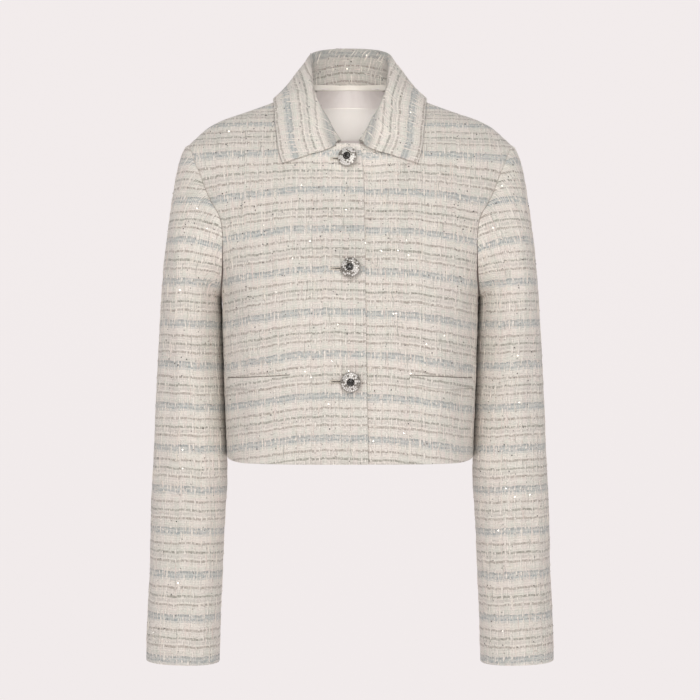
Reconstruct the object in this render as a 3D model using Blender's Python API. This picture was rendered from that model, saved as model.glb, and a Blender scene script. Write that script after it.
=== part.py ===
"""A cropped tweed jacket in the hollow form that it keeps when it is worn.

It is cut like a tailored jacket: two fronts that overlap at the centre, a back, two-piece sleeves and a
turned-down collar, with a welt on each front for the pocket, three buttons, and the tape, the strip of
lining and the bare label that show inside the back neck. Each piece of cloth is a thin wall whose outer
face is laid on one of three forms: the torso, the sleeve or the collar. Lengths are in millimetres until
a mesh is made. X runs to the wearer's left, the front faces -Y, and the origin is the middle of the neck,
level with the inner ends of the shoulder seams.
"""

import math

import bpy
import numpy as np
from mathutils import Matrix, Vector

MM = 0.001  # metres in a millimetre

TWEED_WALL = 2.4  # tweed, canvas and lining together
COLLAR_WALL = 2.2
WELT_WALL = 1.8
LINING_WALL = 1.0
LABEL_WALL = 0.8
SEAM_GAP = 0.4  # between two pieces that are sewn edge to edge
LAYER_GAP = 0.5  # between a piece and the one that it lies on

FINE = 241  # samples along a line before it is divided evenly


def table(columns, *rows):
    """A small table as one array for each named column."""
    return {name: np.array([row[k] for row in rows], float) for k, name in enumerate(columns.split())}


def through(knots, values, at):
    """The smooth curve through values at rising knots, read at the places in at."""
    step = np.diff(knots)
    rise = np.diff(values) / step
    slope = np.empty(len(values))
    slope[0], slope[-1] = rise[0], rise[-1]
    slope[1:-1] = (step[1:] * rise[:-1] + step[:-1] * rise[1:]) / (step[1:] + step[:-1])
    at = np.clip(at, knots[0], knots[-1])
    k = np.clip(np.searchsorted(knots, at, side="right") - 1, 0, len(step) - 1)
    h = step[k]
    s = (at - knots[k]) / h
    return (
        values[k] * (1 + 2 * s) * (1 - s) ** 2
        + slope[k] * h * s * (1 - s) ** 2
        + values[k + 1] * s**2 * (3 - 2 * s)
        + slope[k + 1] * h * s**2 * (s - 1)
    )


def ease(value):
    """0 to 1 with a soft start and end."""
    value = np.clip(value, 0.0, 1.0)
    return value * value * (3 - 2 * value)


def unit(vectors):
    return vectors / np.maximum(np.linalg.norm(vectors, axis=-1, keepdims=True), 1e-9)


def lengths(line):
    """Distance run along a line at each of its points."""
    return np.concatenate([[0], np.cumsum(np.linalg.norm(np.diff(line, axis=0), axis=1))])


def normals_of(form, a, b, step_a, step_b):
    """Outward normals of a form, a function of two numbers, where a runs to the right of b."""
    along_a = form(a + step_a, b) - form(a - step_a, b)
    along_b = form(a, b + step_b) - form(a, b - step_b)
    return unit(np.cross(along_a, along_b))


# ---------------------------------------------------------------- the torso form

# Level sections of the jacket's body, from the hem to the back neck. A section is two half ovals that
# meet at the side, on the line y = side; squareness 2 is an ellipse and 3 is boxy. Between the underarm
# and the shoulder the form runs on into the sleeve, and the armhole is cut out of it.
TORSO = table(
    "height half_width side front back front_square back_square",
    (-440, 139.8, 0, 122.0, 105.0, 2.9, 2.6),
    (-425, 140.2, 0, 122.5, 106.0, 2.9, 2.6),
    (-340, 143.5, 0, 124.5, 109.0, 2.9, 2.6),
    (-262, 145.8, 0, 123.5, 112.0, 2.9, 2.6),
    (-228, 147.0, 1, 121.0, 113.0, 2.85, 2.6),
    (-205, 151.0, 2, 116.5, 113.5, 2.8, 2.6),
    (-180, 158.0, 3, 110.0, 113.5, 2.75, 2.55),
    (-140, 173.0, 4, 97.5, 111.0, 2.7, 2.5),
    (-100, 188.0, 5, 83.0, 106.5, 2.65, 2.4),
    (-72, 194.0, 6, 70.5, 100.5, 2.6, 2.3),
    (-58, 189.5, 6, 62.5, 96.5, 2.6, 2.25),
    (-45, 177.0, 6, 53.5, 92.0, 2.55, 2.2),
    (-31, 160.0, 6, 43.0, 86.0, 2.5, 2.15),
    (-24, 146.0, 6.5, 37.0, 82.5, 2.45, 2.1),
    (-17, 126.0, 7, 31.0, 79.0, 2.4, 2.1),
    (-5, 93.0, 8, 20.5, 72.5, 2.3, 2.05),
    (6, 67.0, 8, 13.0, 66.0, 2.2, 2.0),
    (14, 51.0, 8, 9.0, 60.5, 2.2, 2.0),
    (23, 36.0, 8, 5.0, 54.0, 2.2, 2.0),
    (34, 20.0, 8, 3.0, 44.0, 2.2, 2.0),
)

# Soft upright folds of the body: where they lie and how wide they are, in degrees of turn, how far the
# cloth stands out there, or in if negative, and the heights between which they run.
BODY_FOLDS = table(
    "turn spread depth top bottom",
    (56, 11, -2.2, -255, -440),
    (40, 10, 1.2, -270, -430),
    (-54, 12, -2.0, -240, -440),
    (-37, 10, 1.4, -290, -430),
    (126, 13, -2.6, -190, -440),
    (-132, 12, -2.2, -215, -440),
    (158, 15, 1.8, -160, -430),
    (-160, 14, 1.5, -175, -430),
)


def fold_depth(folds, around, height):
    """How far the folds move the cloth out, at this place round the form and this height."""
    total = np.zeros(np.broadcast(around, height).shape)
    for middle, spread, depth, top, bottom in zip(*folds.values()):
        away = np.mod(around - middle + 180, 360) - 180
        across = np.exp(-((away / spread) ** 2))
        down = np.clip((top - height) / (top - bottom), 0.0, 1.0)
        total = total + depth * across * np.sin(np.pi * down**0.8) ** 2
    return total


def torso(turn, height):
    """Points of the body's outer face. The turn is 0 at the centre front, 90 at the wearer's left side
    and 180 at the centre back, and negative on the wearer's right."""
    turn, height = np.broadcast_arrays(np.asarray(turn, float), np.asarray(height, float))
    section = {name: through(TORSO["height"], TORSO[name], height) for name in TORSO}
    angle = np.radians(turn)
    in_front = np.cos(angle) >= 0
    square = np.where(in_front, section["front_square"], section["back_square"])
    depth = np.where(in_front, -section["front"], section["back"])
    x = section["half_width"] * np.sign(np.sin(angle)) * np.abs(np.sin(angle)) ** (2 / square)
    y = section["side"] + depth * np.abs(np.cos(angle)) ** (2 / square)
    points = np.stack([x, y, height], -1)
    centre = np.stack([x * 0, section["side"], height], -1)
    return points + unit(points - centre) * fold_depth(BODY_FOLDS, turn, height)[..., None]


def torso_layer(places, lift):
    """Points at places, (turn, height), on a face this far outside the torso form."""
    turn, height = places[..., 0], places[..., 1]
    return torso(turn, height) + lift * normals_of(torso, turn, height, 0.5, 1.0)


def turn_at(side, height):
    """The turn at which the front of the torso form is this far to the side."""
    width = through(TORSO["height"], TORSO["half_width"], height)
    square = through(TORSO["height"], TORSO["front_square"], height)
    share = np.clip(np.abs(side) / width, 0, 1) ** (square / 2)
    return np.sign(side) * np.degrees(np.arcsin(share))


def off_torso(points):
    """Rough distance of points outside the torso form, and the direction away from it."""

    def fullness(p):
        section = {name: through(TORSO["height"], TORSO[name], p[..., 2]) for name in TORSO}
        back = p[..., 1] - section["side"]
        depth = np.where(back < 0, section["front"], section["back"])
        square = np.where(back < 0, section["front_square"], section["back_square"])
        across, along = np.abs(p[..., 0]) / section["half_width"], np.abs(back) / depth
        return (across**square + along**square) ** (1 / square)

    steps = np.eye(3) * 0.5
    slope = np.stack([fullness(points + s) - fullness(points - s) for s in steps], -1)
    steepness = np.linalg.norm(slope, axis=-1)
    return (fullness(points) - 1) / np.maximum(steepness, 1e-6), unit(slope)


def moved_off_torso(points, lift, only_out=True):
    """The points moved straight out until they are this far off the torso form. Points that are further
    off come back to it too, unless only_out."""
    for _ in range(12):
        distance, outward = off_torso(points)
        short = lift - distance
        if only_out:
            short = np.maximum(short, 0)
        points = points + np.clip(short, -6, 6)[..., None] * outward
    return points


# ---------------------------------------------------------------- seams drawn on the torso form

HEM_HEIGHT = -416.0  # at the centre front; it rises a little to the sides
HEM_SIDE_RISE = 4.0
UNDERARM = -228.0  # the armhole's lowest point
SHOULDER_TIP = -53.0  # and its highest

# How far the armhole reaches from the side line, in degrees of turn, round from the shoulder (0) to the
# underarm (180)
ARMHOLE = table(
    "angle front_reach back_reach",
    (0, 0, 0),
    (20, 17, 11),
    (50, 30, 24),
    (65, 32, 27),
    (78, 34, 29),
    (90, 37, 29),
    (102, 35, 28),
    (116, 29.5, 26),
    (143, 18, 17),
    (180, 0, 0),
)

# The neckline, from the centre front to the centre back
NECKLINE = table(
    "turn height",
    (0, -56.0),
    (1.5, -56.0),
    (4, -50.0),
    (9, -37.5),
    (20, -21.0),
    (40, -7.0),
    (65, 2.0),
    (90, 6.0),
    (120, 13.5),
    (150, 20.5),
    (165, 22.0),
    (180, 22.4),
)

# How far each front reaches past the centre front
FRONT_EDGE = table(
    "height reach",
    (-425, 20.5),
    (-260, 17.5),
    (-130, 16.0),
    (-90, 15.0),
    (-72, 13.5),
    (-50, 10.8),
)


def hem_height(turn):
    return HEM_HEIGHT + HEM_SIDE_RISE * ease((np.abs(turn) - 50) / 40)


def neck_height(turn):
    return through(NECKLINE["turn"], NECKLINE["height"], np.abs(turn))


def neck_places(first_turn, last_turn, count):
    """Evenly spaced (turn, height) places along the neckline."""
    turns = np.linspace(first_turn, last_turn, FINE)
    run = lengths(torso(turns, neck_height(turns)))
    at = np.interp(np.linspace(0, run[-1], count), run, turns)
    return list(zip(at, neck_height(at)))


def armhole(angle):
    """(turn, height) round the armhole: 0 at the shoulder, 90 in front, 180 under the arm, 270 behind."""
    folded = np.where(angle > 180, 360 - angle, angle)
    in_front = through(ARMHOLE["angle"], -ARMHOLE["front_reach"], folded)
    behind = through(ARMHOLE["angle"], ARMHOLE["back_reach"], folded)
    turn = 90 + np.where(angle > 180, behind, in_front)
    middle, half = (SHOULDER_TIP + UNDERARM) / 2, (SHOULDER_TIP - UNDERARM) / 2
    return turn, middle + half * np.cos(np.radians(folded))


def row_of_places(start, end, columns):
    """Evenly spaced (turn, height) places on the torso form from one place to another."""
    share = np.linspace(0, 1, FINE)[:, None]
    line = np.asarray(start) * (1 - share) + np.asarray(end) * share
    run = lengths(torso(line[:, 0], line[:, 1]))
    at = np.interp(np.linspace(0, run[-1], columns + 1), run, share[:, 0])[:, None]
    return np.asarray(start) * (1 - at) + np.asarray(end) * at


def drawn_in(places, first_row=0.0, last_row=0.0, first_column=0.0, last_column=0.0):
    """The grid of places with its edges drawn back from the seams by these lengths."""
    places = places.copy()
    edges = (
        (places[0], places[1], first_row),
        (places[-1], places[-2], last_row),
        (places[:, 0], places[:, 1], first_column),
        (places[:, -1], places[:, -2], last_column),
    )
    for edge, inside, gap in edges:
        between = torso(edge[:, 0], edge[:, 1]) - torso(inside[:, 0], inside[:, 1])
        edge += (inside - edge) * (gap / np.linalg.norm(between, axis=1))[:, None]
    return places


# ---------------------------------------------------------------- walls of cloth


def material(name, colour, roughness, metallic=0.0):
    made = bpy.data.materials.new(name)
    made.use_nodes = True
    shader = made.node_tree.nodes["Principled BSDF"]
    shader.inputs["Base Color"].default_value = (*colour, 1.0)
    shader.inputs["Roughness"].default_value = roughness
    shader.inputs["Metallic"].default_value = metallic
    return made


def add_object(name, points, faces, finish):
    mesh = bpy.data.meshes.new(name)
    mesh.from_pydata((np.asarray(points) * MM).tolist(), [], faces)
    mesh.materials.append(finish)
    mesh.shade_smooth()
    mesh.set_sharp_from_angle(angle=math.radians(50))
    made = bpy.data.objects.new(name, mesh)
    bpy.context.scene.collection.objects.link(made)
    return made


def numbered(grids):
    """Point numbers for grids of points, where points at one place share a number, and the points."""
    points, numbers, seen = [], [], {}
    for grid in grids:
        flat = []
        for point in grid.reshape(-1, 3):
            key = tuple(np.round(point, 4))
            if key not in seen:
                seen[key] = len(points)
                points.append(point)
            flat.append(seen[key])
        numbers.append(np.array(flat).reshape(grid.shape[:2]))
    return numbers, np.array(points)


def cloth(name, outer, inner, finish):
    """A closed wall between an outer and an inner face. Each face is a list of grids whose columns run to
    the right and rows up, seen from outside; grids that meet along an edge are joined there."""
    numbers, outer_points = numbered(outer)
    pairs = {}
    for grid, numbering in zip(inner, numbers):
        for number, point in zip(numbering.flat, grid.reshape(-1, 3)):
            pairs[int(number)] = point
    inner_points = np.array([pairs[k] for k in range(len(outer_points))])
    count = len(outer_points)
    front = []
    for numbering in numbers:
        corners = (numbering[:-1, :-1], numbering[:-1, 1:], numbering[1:, 1:], numbering[1:, :-1])
        front += np.stack([corner.ravel() for corner in corners], -1).tolist()
    sides = {(face[k], face[(k + 1) % 4]) for face in front for k in range(4)}
    rim = [(b, a, a + count, b + count) for a, b in sorted(sides) if (b, a) not in sides]
    back = [[k + count for k in reversed(face)] for face in front]
    return add_object(name, np.vstack([outer_points, inner_points]), front + back + rim, finish)


def other_side(grid):
    """The same piece for the wearer's other side, with its columns turned round to face out."""
    return grid[:, ::-1] * np.array([-1.0, 1.0, 1.0])


# ---------------------------------------------------------------- fronts, back and welts

HEM_TO_UNDERARM_ROWS = 9
ARMHOLE_ROWS = 15
NECKLINE_ROWS = 8
FRONT_COLUMNS = 15
HALF_BACK_COLUMNS = 15
CLOSER_TO_THE_NECK = 1.6  # how much the rows on the centre draw together towards the neck
CENTRE_DROP = 7.0  # how much lower than the underarm the level row is at the centre
UNDERLAP = TWEED_WALL + LAYER_GAP  # how far the left front lies behind the right one
UNDERLAP_SETS_IN, UNDERLAP_IS_FULL = 60.0, 27.0  # distances from the centre front

# The welt, as its lower and upper edges along the front, measured from the centre
WELT = table(
    "side bottom top",
    (69.5, -326.5, -318.0),
    (88.0, -331.5, -319.0),
    (107.0, -333.5, -320.0),
    (124.0, -333.0, -320.8),
    (137.0, -332.0, -321.0),
)
WELT_COLUMNS = 8
WELT_ROWS = 2


def centre_heights(hem, neck):
    """Heights of the rows on the centre: level with the side as far as the underarm, then to the neck."""
    above = ARMHOLE_ROWS - NECKLINE_ROWS
    level = UNDERARM - CENTRE_DROP
    below = np.linspace(hem, level, HEM_TO_UNDERARM_ROWS + 1)
    share = 1 - (1 - np.linspace(0, 1, above + 1)[1:]) ** CLOSER_TO_THE_NECK
    return np.concatenate([below, level + (neck - level) * share])


def front_places():
    """The left front from its edge past the centre to the side seam and the armhole, hem to shoulder."""
    edge_heights = centre_heights(HEM_HEIGHT, neck_height(1.5))
    edge_turns = turn_at(-through(FRONT_EDGE["height"], FRONT_EDGE["reach"], edge_heights), edge_heights)
    corner = edge_turns[-1]
    inner = list(zip(edge_turns, edge_heights)) + neck_places(corner, 90.0, NECKLINE_ROWS + 1)[1:]
    outer = [(90.0, h) for h in np.linspace(hem_height(90.0), UNDERARM, HEM_TO_UNDERARM_ROWS + 1)]
    outer += [armhole(angle) for angle in np.linspace(180, 0, ARMHOLE_ROWS + 1)[1:]]
    places = np.array([row_of_places(a, b, FRONT_COLUMNS) for a, b in zip(inner, outer)])
    places[0, :, 1] = hem_height(places[0, :, 0])
    return drawn_in(places, last_row=SEAM_GAP / 2, last_column=SEAM_GAP / 2)


def half_back_places():
    """The left half of the back, from the side seam and the armhole to the centre, hem to shoulder."""
    outer = [(90.0, h) for h in np.linspace(hem_height(90.0), UNDERARM, HEM_TO_UNDERARM_ROWS + 1)]
    outer += [armhole(angle) for angle in np.linspace(180, 360, ARMHOLE_ROWS + 1)[1:]]
    centre = [(180.0, h) for h in centre_heights(hem_height(180.0), neck_height(180.0))]
    centre += neck_places(180.0, 90.0, NECKLINE_ROWS + 1)[1:]
    places = np.array([row_of_places(a, b, HALF_BACK_COLUMNS) for a, b in zip(outer, centre)])
    return drawn_in(places, last_row=SEAM_GAP / 2, first_column=SEAM_GAP / 2)


def under_the_right_front(places, lift):
    """A layer of the left front, which steps back near the centre to lie under the right one."""
    side = torso(places[..., 0], places[..., 1])[..., 0]
    share = ease((UNDERLAP_SETS_IN - side) / (UNDERLAP_SETS_IN - UNDERLAP_IS_FULL))
    return torso_layer(places, lift - share[..., None] * UNDERLAP)


def turned(places):
    """The same places on the wearer's other side."""
    return places[:, ::-1] * np.array([-1.0, 1.0])


def build_fronts(tweed):
    left = front_places()
    for name, places, layer in (
        ("front_left", left, under_the_right_front),
        ("front_right", turned(left), torso_layer),
    ):
        cloth(name, [layer(places, 0.0)], [layer(places, -TWEED_WALL)], tweed)


def build_back(tweed):
    left = half_back_places()
    halves = [left, turned(left) + np.array([360.0, 0.0])]
    outer = [torso_layer(half, 0.0) for half in halves]
    inner = [torso_layer(half, -TWEED_WALL) for half in halves]
    cloth("back", outer, inner, tweed)


def build_welts(tweed):
    share = np.linspace(0, 1, WELT_ROWS + 1)[:, None]
    side = np.linspace(WELT["side"][0], WELT["side"][-1], WELT_COLUMNS + 1)
    bottom, top = (through(WELT["side"], WELT[edge], side) for edge in ("bottom", "top"))
    height = bottom * (1 - share) + top * share
    left = np.stack([turn_at(side + height * 0, height), height], -1)
    for name, places in (("welt_left", left), ("welt_right", turned(left))):
        face = torso_layer(places, LAYER_GAP + WELT_WALL)
        cloth(name, [face], [torso_layer(places, LAYER_GAP)], tweed)


# ---------------------------------------------------------------- sleeves

CUFF = -643.0  # height of the sleeve's end on its outer side
CUFF_TILT = 2.5  # how much lower it is on the inner side
CAP_START = -238.0  # height, under the arm, at which the tube of the sleeve passes into its cap
CAP_START_RISE = 84.0  # how much higher that is on the outer side
TUBE_ROWS = 13
CAP_ROWS = 9
FRONT_SLEEVE_SEAM = 168.0  # degrees round the sleeve: 0 outside, 90 in front, 180 next to the body
BACK_SLEEVE_SEAM = 252.0

# Level sections of the left sleeve: how far its outer and inner sides are from the centre of the body,
# and its middle and half of its depth from front to back
SLEEVE = table(
    "height outer inner middle half_depth",
    (-660, 232.8, 149.4, -23, 46.5),
    (-636, 232.6, 149.0, -22, 47.0),
    (-590, 231.8, 148.0, -19, 47.5),
    (-544, 230.0, 146.2, -15, 48.0),
    (-497, 229.0, 144.8, -12, 48.5),
    (-451, 227.4, 143.0, -9, 50.0),
    (-405, 225.0, 143.4, -7, 52.5),
    (-359, 223.2, 145.0, -5, 56.0),
    (-313, 221.2, 146.8, -4, 59.5),
    (-267, 218.8, 148.2, -3, 63.0),
    (-220, 216.0, 149.8, -2, 66.0),
    (-180, 212.5, 152.0, -2, 67.0),
    (-140, 207.5, 155.0, -1, 66.0),
)
SLEEVE_SQUARE = 2.25

SLEEVE_FOLDS = table(
    "around spread depth top bottom",
    (58, 16, -2.6, -250, -420),
    (100, 15, 1.8, -230, -390),
    (30, 14, 1.6, -300, -470),
    (75, 18, -2.2, -415, -560),
    (20, 18, -1.6, -470, -640),
    (300, 18, -2.4, -300, -470),
    (255, 16, 1.8, -280, -430),
    (320, 18, -1.8, -450, -620),
)


def tube(around, height):
    """Points of the left sleeve's outer face, by degrees round it and height."""
    around, height = np.broadcast_arrays(np.asarray(around, float), np.asarray(height, float))
    section = {name: through(SLEEVE["height"], SLEEVE[name], height) for name in SLEEVE}
    angle = np.radians(around)
    half = (section["outer"] - section["inner"]) / 2
    across = np.sign(np.cos(angle)) * np.abs(np.cos(angle)) ** (2 / SLEEVE_SQUARE)
    along = np.sign(np.sin(angle)) * np.abs(np.sin(angle)) ** (2 / SLEEVE_SQUARE)
    middle = (section["outer"] + section["inner"]) / 2
    centre = np.stack([middle, section["middle"], height], -1)
    points = centre + np.stack([half * across, -section["half_depth"] * along, height * 0], -1)
    out = fold_depth(SLEEVE_FOLDS, np.mod(around, 360), height)
    return points + unit(points - centre) * out[..., None]


def cap_start(around):
    return CAP_START + CAP_START_RISE * (1 + np.cos(np.radians(around))) / 2


# How the sleeve leaves the armhole, round from the shoulder: its direction outwards, forwards (backwards
# behind) and down, how strongly it holds that direction, and how far it starts off the body's face
SLEEVE_HEAD = table(
    "angle out forward down hold start_lift",
    (0, 0.95, 0.0, 0.26, 40, 0.0),
    (40, 0.92, 0.35, 0.20, 34, 0.0),
    (80, 0.90, 0.45, 0.05, 34, 0.2),
    (110, 0.85, 0.40, 0.30, 26, 0.6),
    (140, 0.65, 0.20, 0.72, 20, 1.0),
    (180, 0.12, 0.0, 1.0, 12, 1.2),
)
HEAD_ARRIVAL = 1.12  # how strongly the cap runs down into the tube, as a share of its own length


def sleeve_head(around):
    """Where the sleeve starts at the armhole, and the direction and strength with which it leaves it."""
    turn, height = armhole(around)
    folded = np.where(around > 180, 360 - around, around)
    row = {name: through(SLEEVE_HEAD["angle"], SLEEVE_HEAD[name], folded) for name in SLEEVE_HEAD}
    facing = np.where(around > 180, 1.0, -1.0)
    leave = unit(np.stack([row["out"], facing * row["forward"], -row["down"]], -1))
    normal = normals_of(torso, turn, height, 0.5, 1.0)
    along = unit(leave - np.sum(leave * normal, -1, keepdims=True) * normal)
    start = torso(turn, height) + row["start_lift"][..., None] * normal + SEAM_GAP * along
    return start, leave * row["hold"][..., None]


def sleeve(around, up):
    """Points of the left sleeve's outer face. up is 0 at the cuff, 1 where the cap starts and 2 at the
    armhole."""
    around, up = np.broadcast_arrays(np.mod(np.asarray(around, float), 360), np.asarray(up, float))
    top = cap_start(around)
    cuff = CUFF - CUFF_TILT * (1 - np.cos(np.radians(around))) / 2
    low = tube(around, cuff + (top - cuff) * np.minimum(up, 1.0))
    start, leave = sleeve_head(around)
    end = tube(around, top)
    down = tube(around, top - 2.0) - end
    span = np.linalg.norm(end - start, axis=-1, keepdims=True)
    arrive = unit(down) * span * HEAD_ARRIVAL
    s = np.clip(2.0 - up, 0.0, 1.0)[..., None]
    cap = (
        start * (1 + 2 * s) * (1 - s) ** 2
        + leave * s * (1 - s) ** 2
        + end * s**2 * (3 - 2 * s)
        + arrive * s**2 * (s - 1)
    )
    return np.where((up > 1.0)[..., None], cap, low)


def sleeve_layer(around, up, lift):
    """Points this far outside the left sleeve's face."""
    step_up = 0.01
    inside = np.clip(up, step_up, 2 - step_up)
    return sleeve(around, up) + lift * normals_of(sleeve, around, inside, -0.5, step_up)


def build_sleeves(tweed):
    up = np.concatenate([np.linspace(0, 1, TUBE_ROWS + 1)[:-1], np.linspace(1, 2, CAP_ROWS + 1)])
    gap = np.degrees(SEAM_GAP / 2 / 48.0)
    column = 180 / ARMHOLE_ROWS  # the same places round the armhole as on the body
    for name, first, last in (
        ("top_sleeve", BACK_SLEEVE_SEAM - 360, FRONT_SLEEVE_SEAM),
        ("under_sleeve", FRONT_SLEEVE_SEAM, BACK_SLEEVE_SEAM),
    ):
        around = np.arange(last, first - column / 2, -column)
        around[0] -= gap
        around[-1] += gap
        outer = sleeve_layer(around[None, :], up[:, None], 0.0)
        inner = sleeve_layer(around[None, :], up[:, None], -TWEED_WALL)
        cloth(name + "_left", [outer], [inner], tweed)
        cloth(name + "_right", [other_side(outer)], [other_side(inner)], tweed)


# ---------------------------------------------------------------- collar

# Half of the collar from its front end to the centre back: the share of the neck seam, the fold along
# the top, how round that fold is, and the outer edge with its height over the jacket.
COLLAR = table(
    "share fold_x fold_y fold_z fold_radius edge_x edge_y edge_z edge_lift",
    (0.00, 10.4, -52.2, -49.4, 2.2, 75.4, -64.0, -81.4, 2.4),
    (0.10, 18.2, -46.2, -41.0, 2.4, 79.6, -58.0, -69.7, 2.6),
    (0.22, 25.5, -35.0, -26.6, 2.6, 82.4, -46.0, -50.0, 2.6),
    (0.34, 34.0, -21.0, -11.6, 2.8, 85.0, -31.0, -30.0, 2.6),
    (0.46, 40.8, -9.0, 7.0, 3.2, 86.2, -15.0, -13.5, 2.6),
    (0.56, 44.3, 6.0, 24.0, 3.4, 86.6, 8.0, -4.0, 2.8),
    (0.66, 46.4, 21.0, 39.0, 3.6, 81.5, 26.0, -2.0, 3.0),
    (0.76, 47.0, 35.0, 51.0, 3.6, 71.0, 44.0, -1.0, 3.2),
    (0.86, 40.0, 48.5, 59.8, 3.6, 53.0, 60.0, 2.5, 3.6),
    (0.93, 24.0, 57.0, 63.8, 3.6, 29.0, 68.0, 8.5, 4.0),
    (1.00, 0.0, 61.0, 65.2, 3.6, 0.0, 71.5, 12.0, 4.2),
)
COLLAR_START = 12.6  # distance of its front end from the centre
FRONT_END_GAP = 1.9  # how much further off the seam it is there
THIN_END = 1.5  # its wall there, where it grows to the full one over the first part of the seam
SEAM_RUN = 1.2, 3.0  # how far it leaves the seam in line with the body, at the front and elsewhere
FOLD_KNOTS = 5
FALL_ARCH = 4.5
# Where each section is cut into cells, counted in its knots: the seam, the stand, the fold and the fall
COLLAR_CELLS = (0, 1, 1.5, 2, 2.5, 3, 4, 5, 6, 7, 7.5, 8, 8.5, 9, 9.5, 10, 11)


def collar_places():
    """Where the collar's stations are on the neckline: its front end, and each row of the body's pieces."""
    start = float(turn_at(COLLAR_START, neck_height(1.5)))
    corner = float(turn_at(-FRONT_EDGE["reach"][-1], neck_height(1.5)))
    rows = neck_places(corner, 90.0, NECKLINE_ROWS + 1)[:-1] + neck_places(90.0, 180.0, NECKLINE_ROWS + 1)
    turns = np.array([start] + [turn for turn, _ in rows if turn > start + 1.5])
    fine = np.linspace(start, 180.0, FINE)
    run = lengths(torso(fine, neck_height(fine)))
    return turns, np.interp(turns, fine, run) / run[-1]


def collar_line(turn, share):
    """The collar's middle line at one station, from the neck seam up over the fold to the outer edge."""
    row = {name: through(COLLAR["share"], COLLAR[name], share) for name in COLLAR}
    normal = normals_of(torso, turn, neck_height(turn), 0.5, 1.0)
    seam_way = torso(turn + 0.5, neck_height(turn + 0.5)) - torso(turn - 0.5, neck_height(turn - 0.5))
    off_the_body = unit(np.cross(normal, seam_way))
    gap = SEAM_GAP + FRONT_END_GAP * (1 - ease(share * 7))
    seam = torso(turn, neck_height(turn)) + gap * off_the_body - TWEED_WALL / 2 * normal
    stand = seam + (SEAM_RUN[0] + (SEAM_RUN[1] - SEAM_RUN[0]) * ease(share * 5)) * off_the_body
    top = np.array([row["fold_x"], row["fold_y"], row["fold_z"]], float)
    edge = np.array([row["edge_x"], row["edge_y"], row["edge_z"]], float)
    edge = moved_off_torso(edge, row["edge_lift"], only_out=False)
    apex = unit(top - (seam + edge) / 2)
    outer = unit(normal - np.dot(normal, apex) * apex)
    radius = row["fold_radius"]
    fold = [
        top + radius * (outer * -math.cos(a) + apex * (math.sin(a) - 1))
        for a in np.linspace(0, np.pi, FOLD_KNOTS)
    ]
    arch = FALL_ARCH * ease(share * 3) * unit(outer + apex)
    fall = [fold[-1] * (1 - s) + edge * s + arch * 4 * s * (1 - s) for s in (0.3, 0.6, 0.85)]
    knots = np.array([seam, stand, (stand + fold[0]) / 2, *fold, *fall, edge])
    run = lengths(knots)
    at = np.interp(COLLAR_CELLS, np.arange(len(knots)), run)
    line = np.stack([through(run, knots[:, k], at) for k in range(3)], -1)
    past_fold = at > run[2 + FOLD_KNOTS] - 1e-6
    line[past_fold] = moved_off_torso(line[past_fold], row["edge_lift"])
    return line


def grid_normals(grid):
    return unit(np.cross(np.gradient(grid, axis=1), np.gradient(grid, axis=0)))


def build_collar(tweed):
    turns, shares = collar_places()
    half = np.array([collar_line(turn, share) for turn, share in zip(turns, shares)])
    right = half * np.array([-1.0, 1.0, 1.0])
    wall = THIN_END + (COLLAR_WALL - THIN_END) * ease(shares * 7)
    stations = np.vstack([half, right[-2::-1]])
    grid = stations.transpose(1, 0, 2)
    away = grid_normals(grid) * np.concatenate([wall, wall[-2::-1]])[None, :, None] / 2
    cloth("collar", [grid + away], [grid - away], tweed)


# ---------------------------------------------------------------- inside the back neck

# Pieces laid on the inside of the back: how far below the neck seam they start and end at the centre
# back, and how far round they reach in degrees of turn
TAPE_TOP, TAPE_DEPTH = 0.8, 4.5
LINING_TOP, LINING_BOTTOM = 5.8, 88.0
LINING_REACH = 50.0
LABEL_TOP, LABEL_BOTTOM = 22.5, 60.0
LABEL_HALF_WIDTH = 35.0
LINING_GAP = 1.5  # between the lining and the tweed
PLEATS = 5
PLEAT_DEPTH = 0.7


def inside_back(reach, top, bottom, columns, rows):
    """Places inside the back, between two distances below the neck seam, round to a turn each side."""
    turns = np.linspace(180 - reach, 180 + reach, columns + 1)[None, :]
    drop = np.linspace(bottom, top, rows + 1)[:, None]
    return np.stack([turns + drop * 0, neck_height(180 - np.abs(180 - turns)) - drop], -1)


def build_neck_inside(lining, tape, label):
    """Columns are turned round, since the outer face of these pieces faces into the jacket."""
    depth = TWEED_WALL + LINING_GAP
    strip = inside_back(LINING_REACH, TAPE_TOP, TAPE_TOP + TAPE_DEPTH, 16, 1)
    face, under = torso_layer(strip, -depth - LINING_WALL), torso_layer(strip, -depth)
    cloth("neck_tape", [face[:, ::-1]], [under[:, ::-1]], tape)
    panel = inside_back(LINING_REACH, LINING_TOP, LINING_BOTTOM, 30, 5)
    wave = PLEAT_DEPTH * (1 - np.cos(np.radians((panel[..., 0] - 180) / LINING_REACH * 180 * PLEATS))) / 2
    normal = normals_of(torso, panel[..., 0], panel[..., 1], 0.5, 1.0)
    face = torso_layer(panel, -depth - LINING_WALL) - normal * wave[..., None]
    under = torso_layer(panel, -depth) - normal * wave[..., None]
    cloth("neck_lining", [face[:, ::-1]], [under[:, ::-1]], lining)
    top = neck_height(180.0) - LABEL_TOP
    heights = np.linspace(top - (LABEL_BOTTOM - LABEL_TOP), top, 5)[:, None]
    side = np.linspace(LABEL_HALF_WIDTH, -LABEL_HALF_WIDTH, 11)[None, :]
    width = through(TORSO["height"], TORSO["half_width"], heights)
    square = through(TORSO["height"], TORSO["back_square"], heights)
    angle = np.degrees(np.arcsin((np.abs(side) / width) ** (square / 2)))
    places = np.stack([180 - np.sign(side) * angle, heights + side * 0], -1)
    depth += LINING_WALL + LAYER_GAP + PLEAT_DEPTH
    face, under = torso_layer(places, -depth - LABEL_WALL), torso_layer(places, -depth)
    cloth("neck_label", [face[:, ::-1]], [under[:, ::-1]], label)


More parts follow.
